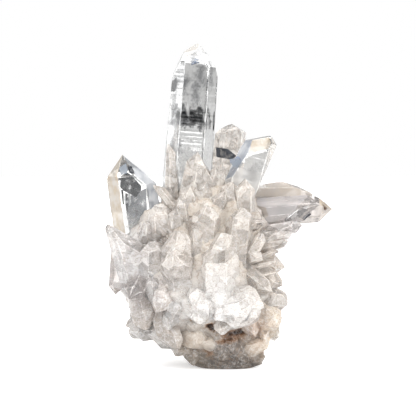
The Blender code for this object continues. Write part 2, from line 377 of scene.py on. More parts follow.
def grow(root, tip, half, apex, roll, taper, chips, rng, rows, columns, bevel=0.14, steps=0.012, coats_and_shades=()):
    """Points (m), faces and values of many crystals at once; each argument has one row for each crystal.

    Each slice's side is walked in even strides between its corners, short of them by the bevel, which wanders
    along the edge. A chip (place, normal, film) then cuts what stands above its plane: x is drawn to an
    anchor a on the axis, a + (x - a) min(1, (place - a) . n / (x - a) . n), all measured in the crystal's own
    frame (mm), so nothing folds over. The values are: along, the share of the height; rim_side and rim_ring,
    the distance in mm to the nearest edge along and across the crystal; facet, a random number for each
    natural face; and coat, the film on a face, from coats, a list of (1 for a sloping face or 0 for a prism
    face, side, amount): a dull film above zero, and painted shade below zero. A chip's film sets its cut
    faces the same way.
    """
    root, tip, half, apex = (np.asarray(v, dtype=float) for v in (root, tip, half, apex))
    count = len(root)
    length = np.linalg.norm(tip - root, axis=-1)
    even = length[:, None] * np.linspace(0.0, 0.99, rows)
    shoulder = reaches(length, half, apex, roll, taper, even)[1]
    shoulder = np.clip(shoulder, 0.05, 0.985 * length[:, None])
    height = np.sort(np.concatenate([even, shoulder, shoulder - 0.03], -1), -1)
    turn, _, prism, sloping = reaches(length, half, apex, roll, taper, height)
    prism = prism + growth_steps(height, rng, steps)
    corner = slice_corners(np.minimum(prism, sloping), turn[:, None, :])
    before = np.roll(corner, 1, -2)
    side_length = np.linalg.norm(corner - before, axis=-1, keepdims=True)
    wander = 1 + 0.3 * np.sin(height[..., None] * rng.uniform(0.4, 1.5, (count, 1, SIDES)))
    cut = np.minimum(bevel * wander[..., None] / np.maximum(side_length, 1e-6), EDGE_SHARE)
    share = cut + (1 - 2 * cut) * np.linspace(0, 1, columns)
    flat = before[..., None, :] + (corner - before)[..., None, :] * share[..., None]
    rim_side = (np.minimum(share, 1 - share) - cut) * side_length
    rim_ring = np.abs(height[..., None] - shoulder[:, None, :])[..., None] + 0 * share
    rows = height.shape[1]
    around = SIDES * columns
    ring = np.concatenate([flat.reshape(count, rows, around, 2),
                           np.broadcast_to(height[..., None, None], (count, rows, around, 1))], -1)
    zero = np.zeros(count)
    poles = np.stack([np.stack([zero, zero, zero], -1),
                      np.stack([apex[:, 0] * half[:, 0], apex[:, 1] * half[:, 1], length], -1)], 1)
    local = np.concatenate([ring.reshape(count, -1, 3), poles], 1)
    nearest = np.concatenate([rim_ring.reshape(count, -1), np.zeros((count, 2))], 1)
    broken_off = []
    anchor = np.stack([zero, zero, ANCHOR * length], -1)[:, None]
    for place, normal, *coat_and_shade_amount in chips:
        normal = np.broadcast_to(np.asarray(normal, dtype=float), (count, 3))
        normal = normal / np.linalg.norm(normal, axis=-1, keepdims=True)
        place = np.broadcast_to(np.asarray(place, dtype=float), (count, 3))
        room = np.einsum("nkj,nj->nk", place[:, None] - anchor, normal)
        reach = np.einsum("nkj,nj->nk", local - anchor, normal)
        nearest = np.minimum(nearest, np.abs(reach - room))
        broken_off.append((reach > room, coat_and_shade_amount))
        local = anchor + (local - anchor) * np.minimum(1.0, room / np.maximum(reach, room))[..., None]
    turned = np.einsum("nij,nkj->nki", axis_frame(root, tip), local)
    points = (root[:, None] + turned).reshape(-1, 3) * MM
    quads = np.array(ring_faces(rows, around)[:-2 * around])
    middle = 0.5 * (height[:, 1:] + height[:, :-1])
    above = (middle[..., None] > shoulder[:, None, :]).astype(int)
    value = rng.uniform(0, 1, (count, 2, SIDES))
    film = np.zeros((count, 2, SIDES))
    for upper, side, amount in coats_and_shades:
        film[:, upper, side] = amount
    facet, coat_and_shade = (np.concatenate([
        np.repeat(np.take_along_axis(table, above, 1), columns, -1).reshape(count, -1),
        np.full((count, around), 0.5), np.repeat(table[:, 1], columns, -1)], -1) for table in (value, film))
    for moved, coat_and_shade_amount in broken_off:
        flattened = np.concatenate([moved[:, quads].all(-1), np.zeros((count, 2 * around), dtype=bool)], -1)
        facet = np.where(flattened, rng.uniform(0, 1, (count, 1)), facet)
        if coat_and_shade_amount:
            coat_and_shade = np.where(flattened, coat_and_shade_amount[0], coat_and_shade)
    values = {"along": local[..., 2] / length[:, None],
              "rim_side": np.concatenate([rim_side.reshape(count, -1), np.zeros((count, 2))], 1),
              "rim_ring": nearest, "facet": facet, "coat_and_shade": coat_and_shade}
    return points, ring_faces(rows, around, count), {key: value.ravel() for key, value in values.items()}


# %% [markdown]
# ## The large crystals
# Each large crystal is listed one by one: where its root and its tip are, how wide and deep it is, where its
# point leans to, how it is turned, how much it narrows, and where it is chipped. All are in mm from the
# middle of the foot, with the front towards -Y. A coat is a thin dull film on one face above zero, warm,
# since some faces of this cluster are frosted and the next ones are clear; below zero it is painted shade, a
# bluish grey on a clear face that looks dark.

# %% Large crystals
CRYSTALS = {
    "main_point": dict(root=(-12.1, 0.0, 42.0), tip=(-7.6, -0.8, 101.6), half=(8.1, 7.3),
                       apex=(-0.06, -0.05), roll=4, taper=0.8, seed=3,
                       coats_and_shades=((1, 3, -0.20), (1, 4, -0.25), (1, 5, -0.15), (0, 3, -0.30), (0, 2, -0.2)),
                       chips=(((-7.3, 0, 47.1), (-0.93, -0.1, 0.36)),
                              ((-4.1, 0, 55.6), (-0.5, -0.4, 0.8), 0.5),
                              ((0.6, 0, 58.7), (0.62, -0.35, 0.7), 0.65),
                              ((5.3, 0, 53.6), (0.94, 0.1, 0.34)))),
    "left_point": dict(root=(-25.1, 5.0, 33.6), tip=(-29.6, 2.4, 66.0), half=(8.2, 7.0),
                       apex=(-0.2, -0.1), roll=2, taper=0.6, seed=5,
                       coats_and_shades=((1, 3, 0.8), (0, 3, 0.95), (0, 5, -0.9), (1, 5, -0.8), (1, 4, 0.2))),
    "lower_left_point": dict(root=(-25.6, -11.6, 28.5), tip=(-30.3, -16.6, 46.6), half=(6.7, 5.0),
                             apex=(-0.72, 0.0), roll=6, taper=0.5, seed=7, coats_and_shades=((1, 4, 0.3), (1, 5, 0.4)),
                             chips=(((-4.4, 0, 18.8), (0.1, -0.3, 1.0)),)),
    "low_left_prism": dict(root=(-31.2, -3.4, 36.0), tip=(-32.4, -7.2, 22.4), half=(3.4, 3.6),
                           apex=(0.2, 0.0), roll=0, taper=1.5, seed=8),
    "knob_crystal": dict(root=(-24.9, -12.0, 27.6), tip=(-28.2, -21.8, 22.0), half=(3.9, 4.1),
                         apex=(0.0, 0.2), roll=12, taper=3.0, seed=9),
    "arched_stub": dict(root=(-18.6, -9.8, 38.0), tip=(-19.4, -15.0, 52.4), half=(4.3, 3.9),
                        apex=(0.0, 0.0), roll=8, taper=2.0, seed=10,
                        chips=(((0, 0, 12.9), (0.0, -0.3, 1.0)),)),
    "back_point": dict(root=(0.9, 13.0, 50.0), tip=(3.3, 14.6, 77.8), half=(5.7, 4.8),
                       apex=(0.1, 0.0), roll=10, taper=1.0, seed=11,
                       coats_and_shades=((1, 3, 0.5), (1, 4, 0.3), (1, 5, 0.5), (0, 3, 0.35), (0, 4, -0.2), (0, 5, 0.3)),
                       chips=(((0, 0, 24.8), (-0.35, -0.3, 1.0), 0.3), ((2, 0, 24.4), (0.5, -0.1, 1.0)))),
    "blade_crystal": dict(root=(5.8, -1.8, 52.4), tip=(12.6, -0.8, 77.0), half=(6.9, 4.2),
                          apex=(0.1, 0.2), roll=0, taper=-0.5, seed=12,
                          coats_and_shades=((0, 3, 0.2), (0, 4, 0.22), (0, 5, 0.3)),
                          chips=(((4.3, 0, 3.7), (0.99, 0, -0.144)),
                                 ((-3.6, 0, 12.2), (-0.92, -0.38, 0.3), -1.0),
                                 ((-1.4, 0, 18.3), (-0.44, -0.1, 0.9), 0.5),
                                 ((4.05, 0, 21.0), (0.67, 0, 0.74)),
                                 ((-3.6, -3.6, 12.2), (-0.32, -0.79, 0.52), 0.9))),
    "cream_crystal": dict(root=(6.6, -9.2, 48.8), tip=(7.0, -11.6, 58.8), half=(3.9, 2.9),
                          apex=(0.0, 0.0), roll=0, taper=3.0, seed=13),
    "left_front_crystal": dict(root=(-12.2, -12.0, 25.5), tip=(-15.0, -24.4, 38.6), half=(5.9, 5.6),
                               apex=(0.0, -0.2), roll=6, taper=2.0, seed=14,
                               chips=(((0, 0, 16.4), (0.5, -0.2, 1.0)), ((0, 0, 16.4), (-0.6, 0.2, 1.0)))),
    "rear_left_point": dict(root=(-15.0, 12.0, 32.0), tip=(-20.6, 25.2, 49.0), half=(4.8, 4.4),
                            apex=(0.1, 0.1), roll=5, taper=1.5, seed=15),
    "rear_right_point": dict(root=(5.0, 12.6, 32.0), tip=(12.4, 27.4, 42.4), half=(4.4, 4.0),
                             apex=(-0.1, 0.2), roll=-8, taper=1.5, seed=16),
    "rear_low_point": dict(root=(-7.0, 14.0, 19.0), tip=(-9.6, 29.3, 22.6), half=(4.2, 3.8),
                           apex=(0.2, 0.1), roll=15, taper=2.0, seed=17),
}
GROUPS = {
    "right_group": (
        dict(root=(6.4, 5.4, 52.4), tip=(28.8, 4.4, 53.0), half=(4.8, 3.6), taper=0.5,
             chips=(((-4.6, 0, 12.6), (-1.0, -0.1, 0.43)), ((-4.6, 0, 12.6), (-1.0, 0, -0.14))),
             coats_and_shades=((0, 3, 0.6), (0, 4, 0.7), (1, 3, 0.6), (1, 4, 0.5)), seed=21),
        dict(root=(8.4, 2.2, 47.9), tip=(34.6, 0.0, 48.8), half=(4.7, 4.6), apex=(0.0, -0.2), roll=4,
             coats_and_shades=((1, 3, 0.9), (1, 4, 0.5), (1, 5, 0.7), (0, 5, 0.4), (0, 4, 0.4)), seed=22),
        dict(root=(8.4, -2.6, 47.6), tip=(30.4, -4.0, 49.6), half=(4.7, 3.9), apex=(-0.2, 0.1),
             coats_and_shades=((0, 3, -0.30), (0, 4, -0.34), (0, 5, -0.2)),
             chips=(((0, -1.9, 0), (0.06, -1.0, 0.02)), ((-4.7, -1.9, 17.8), (0.28, -1.0, 0.26))), seed=23),
        dict(root=(8.0, -3.0, 40.6), tip=(25.0, -4.0, 43.9), half=(2.3, 3.6), roll=10, taper=2.0, seed=24),
    ),
    "front_group": (
        dict(root=(-1.3, -15.4, 17.5), tip=(-1.3, -19.6, 41.0), half=(6.5, 6.6), apex=(0.3, -0.3),
             taper=0.5, roll=-6, chips=(((0, 0, 19.6), (-0.2, -0.6, 1.0)), ((-3, 0, 18.4), (-0.9, 0.2, 1.0))),
             seed=31),
        dict(root=(5.2, -11.0, 19.6), tip=(5.8, -28.4, 17.4), half=(6.9, 5.2), apex=(-0.2, 0.3), roll=18,
             chips=(((1.0, 0, 15.4), (0.35, -0.1, 1.0)), ((-2.0, 1, 15.8), (-0.5, 0.5, 1.0))), seed=32),
        dict(root=(-5.0, -12.0, 19.2), tip=(-8.6, -26.6, 20.2), half=(4.6, 4.8), apex=(0.2, 0.1), roll=25,
             taper=1.5, seed=33),
    ),
}
MILKY_NODES = ("cream_crystal", "left_front_crystal", "front_group", "rear_low_point")

# %% [markdown]
# ## Tints of the quartz
# Quartz is white only where it is clean. Here the middle of the crust is cream, its front and its left are
# icy white, and the foot is grey-brown: partly its own earthy colour, and partly painted shade where its
# underside turns from the light. Each region gives a colour, and a point takes a weighted mean of them, so
# one region runs softly into the next.

# %% Region tints
# Middle of the region (x, z) and its size in mm, and its colour.
REGIONS = (
    ((-5.0, 49.0), 15.0, "#f6e4cd"),
    ((-15.0, 36.0), 8.0, "#f0dac0"),
    ((-26.0, 31.0), 11.0, "#faf6f8"),
    ((0.0, 21.0), 9.0, "#f4f1ee"),
    ((14.0, 32.0), 9.0, "#e8d2b6"),
    ((-22.0, 10.0), 8.0, "#aaa096"),
    ((17.0, 10.0), 7.0, "#f0dfc8"),
    ((-20.0, 14.0), 6.0, "#c6beb8"),
    # The next three, right at the floor, are mostly painted shade: the underside of the foot, turned from the
    # light.
    ((-1.0, 3.0), 4.0, "#5a504a"),
    ((5.0, 2.5), 5.0, "#50463f"),
    ((11.0, 1.5), 3.5, "#4c3d33"),
    ((4.0, 8.6), 3.2, "#7a6556"),
    ((-9.0, 3.0), 4.0, "#a39583"),
    ((-7.0, 10.5), 4.5, "#cdbfaf"),
    ((9.0, 6.5), 3.0, "#cabaa9"),
    ((11.0, 12.5), 3.6, "#cfae98"),
    ((33.0, 49.0), 5.0, "#f0c294"),
    ((22.0, 49.0), 8.0, "#ddd3d6"),
)
REST = "#f6efe6"
REST_WEIGHT = 0.15              # how much REST counts against the regions
CRYSTAL_TINT = 0.40             # the share of the tint that the crystals have; the rock has all of it


def region_tint(points, strength=1.0):
    """RGBA at points in mm: the regions' colours weighed by exp(-(d / size)^2), and REST by its own weight.

    A strength below 1 mixes the result with white.
    """
    x = points[..., 0]
    z = points[..., 2]
    total = np.full(x.shape, REST_WEIGHT)
    colour = REST_WEIGHT * np.ones(x.shape + (1,)) * np.array(linear(REST))
    for (at_x, at_z), size, tint in REGIONS:
        weight = np.exp(-((x - at_x) ** 2 + (z - at_z) ** 2) / size ** 2)
        total = total + weight
        colour = colour + weight[..., None] * np.array(linear(tint))
    return 1.0 - strength * (1.0 - colour / total[..., None])


# %% [markdown]
# ## Finishes of the crystals
# Rock crystal is quartz that let light straight through: index of refraction 1.544, faces as smooth as
# glass. Milky quartz is the same mineral full of water bubbles too small to see, so light scatters in it.

# %% Worn edges with a painted highlight
QUARTZ_IOR = 1.544
EDGE_WIDTH = 0.15               # mm, the white line along an edge: partly wear, partly a painted highlight


def worn_edges_and_painted_highlight(tree, place):
    """Wear and painted highlight at a point: 1 on an edge, 0 past EDGE_WIDTH of it; noise lifts the distance
    for gaps.
    """
    near = maths(tree, "MINIMUM", stored(tree, "rim_side"), stored(tree, "rim_ring"))
    lift = fit(tree, noise(tree, place, 500.0, 3.0), 0.4, 0.65, 0.0, EDGE_WIDTH)
    return fit(tree, maths(tree, "ADD", near, lift), 0.0, EDGE_WIDTH, 1.0, 0.0)


# %% [markdown]
# ## Rock crystal
# The big points are glass-clear towards the tip and cloudy at the root, where they grew fast. One material
# holds both: the share of light that passes falls with the height along the crystal, and a noise breaks the
# limit up. Natural faces are etched very finely, which shows as a slightly soft reflection. Where a face has
# a coat it lets less light through and takes the coat's warm cream, or a bluish grey that is painted shade on
# a clear face that looks dark.

# %% Rock crystal


def rock_crystal(name, tint, milk_below, clear_most=1.0, rough_least=0.01, rough_most=0.07, frost=1.0):
    """Natural crystal faces, glassy: clear towards the point and milky below a share of its height."""
    made, tree, place = new_material(name)
    clouds = noise(tree, place, 260.0, 5.0, 0.6)
    level = maths(tree, "ADD", stored(tree, "along"), maths(tree, "MULTIPLY", clouds, 0.35))
    clear = fit(tree, level, milk_below, milk_below + 0.4, 0.72, clear_most)
    # Edges let less light through and show white: partly wear, partly a painted highlight.
    unworn_and_unhighlit = maths(tree, "MULTIPLY_ADD", worn_edges_and_painted_highlight(tree, place), -0.5, 1.0)
    bruised = fit(tree, level, 1.06, 1.12, 1.0, frost)
    film = maths(tree, "MULTIPLY", stored(tree, "coat_and_shade"), fit(tree, clouds, 0.3, 0.7, 0.6, 1.2))
    cream = blend(tree, film, linear(tint), linear("#a29480"))
    # Below zero a coat paints the face bluish grey: painted shade on a clear face that looks dark.
    painted_grey_shade = maths(tree, "MULTIPLY", film, -1.0, use_clamp=True)
    cover = maths(tree, "ABSOLUTE", film)
    through = clear
    for part in (unworn_and_unhighlit, bruised, maths(tree, "MULTIPLY_ADD", cover, -0.75, 1.0, use_clamp=True)):
        through = maths(tree, "MULTIPLY", through, part)
    etch = noise(tree, place, 900.0, 3.0)
    bump = add(tree, "Bump", {"Strength": 0.08, "Distance": 0.0002, "Height": etch})
    surface(tree, {"IOR": QUARTZ_IOR, "Base Color": blend(tree, painted_grey_shade, cream, linear("#848992")),
                   "Roughness": fit(tree, etch, 0.35, 0.75, rough_least, rough_most),
                   "Normal": bump.outputs[0], "Transmission Weight": through})
    return made


# %% [markdown]
# ## Healed cracks in the colour
# Milky quartz is crossed by hair-fine cracks, healed white or stained brown. A contour line of a noise has
# the same look: it wanders, closes and never crosses itself, and it costs one noise.

# %% Veins


def veins(tree, place, scale, colour, white, brown):
    """The colour with fine healed cracks: thin lines where a noise crosses 0.5, one set white, one brown."""
    for channel, tint, amount in (("X", "#ffffff", white), ("Y", "#8a725c", brown)):
        field = noise(tree, place, scale, 5.0, 0.6, 0.9, "Color")
        level = add(tree, "SeparateXYZ", {0: field}).outputs[channel]
        far = maths(tree, "ABSOLUTE", maths(tree, "SUBTRACT", level, 0.5))
        colour = blend(tree, fit(tree, far, 0.0, 0.028, amount, 0.0), colour, linear(tint))
    return colour


# %% [markdown]
# ## Strokes that fan outward
# The crystals grew away from one place, and fine tubes and growth lines in them point the same way. A noise
# looks drawn out along a direction when its coordinates change slowly that way. Here they change fast with
# the direction from the centre and slowly with the distance, so the strokes fan out over the whole crust.

# %% Fanned strokes
FAN_CENTRE = (-0.004, 0.0, 0.026)   # m; the crystals grew outward from here
FAN_WIDTH = 80.0                # strokes are 25 mm / FAN_WIDTH wide on the front of the cluster
FAN_LENGTH = 170.0              # and 1 m / FAN_LENGTH long
GRAIN_TONE = 0.34               # how much of GRAIN_COLOUR the deepest stroke takes
GRAIN_COLOUR = linear("#a08c78")


def fanned(tree, place):
    """Coordinates in which a noise is drawn out away from FAN_CENTRE: direction * width + place * length."""
    offset = maths(tree, "SUBTRACT", place, FAN_CENTRE, kind="VectorMath")
    toward = maths(tree, "NORMALIZE", offset, kind="VectorMath")
    wide = maths(tree, "MULTIPLY", toward, (FAN_WIDTH,) * 3, kind="VectorMath")
    return maths(tree, "MULTIPLY_ADD", place, (FAN_LENGTH,) * 3, wide, kind="VectorMath")


def grain(tree, place):
    """How deep the grain is: 0 between the strokes and GRAIN_TONE in the middle of one."""
    return fit(tree, noise(tree, fanned(tree, place), 1.0, 3.0, 0.6), 0.46, 0.64, 0.0, GRAIN_TONE)


# %% [markdown]
# ## Milky quartz
# The small crystals are neither glass nor milk, and each natural face shows another depth of bubbles. So
# each face carries a random number that sets how much light passes. Under it, rounded cells a few mm wide
# are a little deeper or milkier than the next, which breaks the inside up as real growth sectors do.

# %% Milky quartz
VEIN_WHITE = 0.62               # how white the healed cracks are
VEIN_BROWN = 0.42               # and how brown the stained ones
CELL_WOBBLE = 0.004             # m, how far a noise moves the edges of the cells
CELL_TONE = 0.12                # how much of GRAIN_COLOUR the deepest cell of the milk takes


def milky_quartz(name, clear_least, clear_most, rough_least, rough_most):
    """Glassy natural faces: each is a little clearer or milkier than the next, and edges are white, partly
    worn and partly a painted highlight.
    """
    made, tree, place = new_material(name)
    facet = stored(tree, "facet")
    level = maths(tree, "MULTIPLY_ADD", facet, 0.5, noise(tree, place, 260.0, 4.0, 0.6))
    wobble = noise(tree, place, 240.0, 2.0, output="Color")
    moved = maths(tree, "MULTIPLY_ADD", wobble, (CELL_WOBBLE,) * 3, place, kind="VectorMath")
    cells = add(tree, "TexVoronoi", {"Scale": 330.0, "Vector": moved}).outputs
    kind = add(tree, "SeparateXYZ", {0: cells["Color"]}).outputs
    deeper = maths(tree, "MULTIPLY_ADD", kind["X"], CELL_TONE, grain(tree, place))
    colour = blend(tree, deeper, stored(tree, "tint", "Color"), GRAIN_COLOUR)
    milkier = maths(tree, "MULTIPLY_ADD", kind["Y"], 0.35, 0.75)
    # Edges let less light through and show white: partly wear, partly a painted highlight.
    unworn_and_unhighlit = maths(tree, "MULTIPLY_ADD", worn_edges_and_painted_highlight(tree, place), -0.35, 1.0)
    through = fit(tree, level, 0.4, 1.05, clear_least, clear_most)
    for part in (milkier, unworn_and_unhighlit):
        through = maths(tree, "MULTIPLY", through, part)
    dents = add(tree, "Bump", {"Strength": 0.5, "Distance": 0.0012, "Height": cells["Distance"]})
    bump = add(tree, "Bump", {"Strength": 0.06, "Distance": 0.0002, "Height": noise(tree, place, 1100.0, 3.0),
                              "Normal": dents.outputs[0]})
    surface(tree, {"IOR": QUARTZ_IOR, "Base Color": veins(tree, place, 360.0, colour, VEIN_WHITE, VEIN_BROWN),
                   "Roughness": fit(tree, facet, 0.0, 1.0, rough_least, rough_most),
                   "Normal": bump.outputs[0], "Transmission Weight": through})
    return made


# Water-clear natural faces: crisp reflections, and the eye looks straight through.
clear_quartz = rock_crystal("rock crystal, natural glassy faces", "#fcfcfb", 0.35)
# The same with a bruised tip: the point turns white and stops the eye there.
worn_quartz = rock_crystal("rock crystal, glassy faces and a bruised tip", "#fcfcfb", 0.35, frost=0.55)
# Faintly smoky and etched in the ground: soft grey reflections and a dim inside.
smoky_quartz = rock_crystal("smoky rock crystal, frosted natural faces", "#efe9e6", 0.25, 0.84, 0.08, 0.26)
# Bubbly inside, glassy outside: wet-looking faces over a pale, cloudy depth.
milk = milky_quartz("milky quartz, glassy natural faces", 0.58, 0.74, 0.01, 0.06)
# Bubbly inside, etched outside: bright, satiny faces with little depth.
frost = milky_quartz("milky quartz, frosted natural faces", 0.40, 0.52, 0.05, 0.20)

# %% [markdown]
# ## Which finish goes where
# The record names a slot for each node, and each slot has a finish. A few crystals differ from the rest of
# their slot, and are named one by one.

# %% Finish of each crystal
FINISH_OF_SLOT = {"clear_rock_crystal": clear_quartz, "smoky_clear_quartz": smoky_quartz,
                  "milky_quartz": milk, "stained_quartz_matrix": milk}
FINISH_OF_NODE = {"main_point": worn_quartz, "front_group": frost, "arched_stub": milk,
                  "lower_left_point": milk, "back_point": milk}
SMOKY_NODES = ("lower_left_point", "low_left_prism", "knob_crystal", "right_group")


def slot_of(node):
    """The record's slot of a node."""
    if node in MILKY_NODES:
        return "milky_quartz"
    return "smoky_clear_quartz" if node in SMOKY_NODES else "clear_rock_crystal"


# %% [markdown]
# ## Making the large crystals
# The table above now becomes one piece for each crystal. Crystals with chips get a finer grid, so that the
# line where a chip meets a face is straight. Each piece stands for the node of the same name.

# %% Make the large crystals
ALL_LARGE = [(name, name, size) for name, size in CRYSTALS.items()]
ALL_LARGE += [(name, "%s_%d" % (name, number + 1), size)
              for name, group in GROUPS.items() for number, size in enumerate(group)]
ROW_SPACING = 0.25              # mm between the slices of a large crystal
for node, name, size in ALL_LARGE:
    tall = math.dist(size["root"], size["tip"])
    points, faces, values = grow(
        [size["root"]], [size["tip"]], [size["half"]], [size.get("apex", (0.0, 0.0))],
        np.array([size.get("roll", 0.0)]), np.array([size.get("taper", 1.0)]), size.get("chips", ()),
        np.random.default_rng(size["seed"]), int(tall / ROW_SPACING), 17 if "chips" in size else 7,
        coats_and_shades=size.get("coats_and_shades", ()))
    slot = slot_of(node)
    make_piece("grown_" + name, points, faces, FINISH_OF_NODE.get(node, FINISH_OF_SLOT[slot]), slot, [node],
               tint=region_tint(points / MM, CRYSTAL_TINT), **values)

# %% [markdown]
# ## The crystals between the large ones
# Between the large points, the crust is made of crystals a few mm wide, and the larger of them are listed one
# by one too, since the eye picks them out. They are sorted by look: sharp ones, glassy ones, a white star
# shaped block at the front, and frosted ones towards the foot. Only root, tip and size are given. How the
# tips slant and where they are chipped is left to chance, with a fixed seed.

# %% Middle crystals
# Root, tip (mm), half width and half depth.
SHARP = {
    "skirt": ((-9.6, -8.6, 44.0), (-5.6, -9.2, 66.6), (6.6, 3.8)),
    "skirt_right": ((-5.4, -8.0, 47.0), (-2.2, -8.2, 62.6), (2.8, 2.6)),
    "skirt_left": ((-15.3, -6.0, 49.8), (-15.9, -5.4, 69.5), (2.8, 2.8)),
    "slanting_blade": ((-11.5, -11.0, 45.7), (-20.6, -9.5, 57.1), (1.9, 2.0)),
    "pale_point": ((-11.2, -13.0, 42.0), (-13.4, -13.6, 54.6), (3.2, 2.8)),
    "left_fan": ((-12.0, -12.4, 40.0), (-9.4, -13.0, 56.4), (3.0, 2.6)),
    "top_fill": ((-9.0, -8.0, 43.0), (-5.6, -12.8, 58.4), (4.4, 3.0)),
    "cream_fan": ((-2.5, -8.5, 43.0), (4.4, -11.0, 57.4), (4.4, 3.2)),
    "cream_low": ((-5.0, -10.5, 42.0), (0.4, -13.0, 55.4), (3.8, 3.2)),
    "left_foot_a": ((-22.0, 1.0, 34.0), (-33.4, -2.6, 38.4), (3.2, 3.0)),
    "left_foot_b": ((-19.0, -6.0, 34.0), (-25.4, -13.6, 45.6), (3.8, 3.4)),
    "left_foot_c": ((-21.0, 8.0, 34.0), (-33.0, 9.6, 40.0), (3.4, 3.2)),
}
GLASSY = {
    "dome_left": ((-6.9, -14.0, 32.4), (-5.2, -17.4, 52.2), (6.2, 5.2)),
    "dome_right": ((4.0, -13.0, 32.4), (5.8, -15.6, 51.7), (5.0, 4.4)),
    "dome_low": ((-1.4, -17.0, 27.0), (-1.0, -20.6, 44.8), (6.4, 4.8)),
    "brown_dome": ((-12.5, -14.5, 20.5), (-14.4, -19.0, 45.2), (6.0, 5.4)),
    "kite": ((-14.5, -11.0, 38.0), (-14.0, -15.4, 50.6), (3.6, 3.4)),
    "clear_knob": ((-1.2, -7.0, 54.1), (-0.6, -8.6, 62.2), (2.4, 2.2)),
    "mass_a": ((-21.4, -10.0, 24.0), (-21.0, -18.0, 41.7), (5.0, 4.6)),
    "mass_b": ((-25.0, -8.0, 24.7), (-26.5, -15.0, 38.5), (4.4, 4.2)),
    "mass_c": ((-19.0, -10.0, 36.0), (-18.4, -17.0, 40.6), (4.0, 3.6)),
    "mass_d": ((-22.0, -10.0, 22.0), (-22.6, -19.6, 27.6), (5.6, 5.0)),
    "plate_1": ((10.0, -6.0, 40.6), (24.5, -7.6, 44.6), (1.5, 3.4)),
    "plate_2": ((10.0, -7.0, 38.6), (22.2, -9.4, 42.0), (1.6, 3.4)),
    "plate_3": ((9.4, -8.0, 36.0), (20.8, -10.8, 39.2), (1.9, 3.4)),
    "white_shard": ((8.0, -14.0, 34.0), (12.8, -18.4, 42.8), (2.1, 1.8)),
    "pit_frame": ((7.0, -13.0, 43.0), (12.4, -16.4, 47.0), (2.4, 2.0)),
    "side_a": ((7.0, -8.0, 34.0), (19.8, -7.6, 31.6), (3.2, 3.2)),
    "side_b": ((7.2, -10.0, 31.0), (18.9, -11.0, 26.2), (3.6, 3.4)),
    "side_c": ((6.5, -12.5, 30.0), (15.0, -18.0, 24.0), (3.8, 3.6)),
    "side_d": ((8.7, -9.0, 24.0), (21.0, -11.5, 18.4), (4.8, 4.6)),
    "side_e": ((5.6, -12.0, 37.0), (12.5, -17.2, 33.2), (3.0, 2.8)),
    "slat_a": ((7.0, -12.0, 33.0), (17.5, -12.8, 37.0), (1.3, 1.8)),
    "slat_b": ((7.0, -13.0, 31.0), (16.8, -14.6, 33.5), (1.2, 1.8)),
    "slat_c": ((7.0, -13.0, 28.0), (17.0, -15.0, 30.4), (1.2, 1.8)),
    "pink_down": ((-13.5, -14.5, 24.5), (-15.2, -22.0, 13.0), (4.2, 4.0)),
    "smooth_left": ((-12.0, -9.0, 15.0), (-29.4, -11.5, 12.4), (4.6, 5.4)),
    "smooth_low": ((-9.0, -9.0, 9.8), (-23.8, -14.0, 10.6), (3.9, 5.0)),
    "violet_knob": ((-22.0, -10.0, 15.5), (-29.6, -14.0, 12.8), (2.8, 3.0)),
}
STAR = {
    "star_left": ((-3.1, -15.0, 20.6), (-11.4, -24.6, 23.8), (4.4, 4.0)),
    "star_low_left": ((-2.5, -15.0, 21.2), (-10.6, -24.6, 17.0), (4.4, 4.0)),
    "star_low": ((0.9, -16.0, 22.4), (1.8, -25.8, 14.6), (5.0, 4.4)),
    "star_right": ((3.4, -16.0, 23.1), (12.3, -24.2, 22.2), (4.4, 4.0)),
    "star_back": ((-6.0, -14.0, 24.0), (-11.6, -21.6, 21.6), (4.2, 4.0)),
    "star_face": ((4.0, -15.0, 20.0), (8.8, -25.4, 18.0), (5.4, 5.0)),
    "star_bridge": ((-5.0, -14.0, 21.5), (-6.6, -25.2, 20.6), (5.2, 5.0)),
    "star_middle": ((-2.0, -14.0, 21.0), (-2.6, -25.0, 20.4), (6.0, 5.4)),
}
FROSTED = {
    "down_left": ((-26.0, -10.0, 25.0), (-23.2, -19.0, 12.6), (4.4, 4.2)),
    "down_middle": ((-19.3, -12.0, 20.5), (-14.4, -20.0, 6.2), (4.6, 4.4)),
    "down_c": ((-17.0, -13.0, 26.0), (-19.0, -23.0, 18.6), (4.0, 3.6)),
    "side_block": ((9.5, -10.0, 20.0), (18.2, -14.5, 12.0), (5.0, 4.6)),
    "right_foot": ((9.0, -7.0, 15.0), (15.6, -10.0, 5.8), (4.6, 5.0)),
    "red_face": ((7.0, -11.0, 17.5), (10.6, -17.0, 10.4), (3.8, 3.4)),
    "wedge": ((0.0, -14.0, 19.0), (0.4, -21.5, 10.8), (3.6, 3.2)),
    "foot_left": ((-9.5, -7.0, 11.0), (-15.6, -13.0, 2.6), (4.6, 4.4)),
    "foot_low": ((-8.5, -5.0, 9.0), (-9.6, -11.6, 1.2), (3.8, 4.2)),
}


def random_chips(rng, length, half, count, deep=0.4):
    """Chip planes (place, normal): through the axis a little below the tip, leaning to a random side.

    A lean of 1.27 would be as steep as the natural sloping faces.
    """
    zero = np.zeros(len(length))
    chips = []
    for _ in range(count):
        side = rng.uniform(0, 2 * np.pi, len(length))
        lean = rng.uniform(0.2, 1.3, len(length))
        below = rng.uniform(0.05, deep, len(length)) * half[:, 0]
        chips.append((np.stack([zero, zero, length - below], -1),
                      np.stack([lean * np.cos(side), lean * np.sin(side), zero + 1], -1)))
    return chips


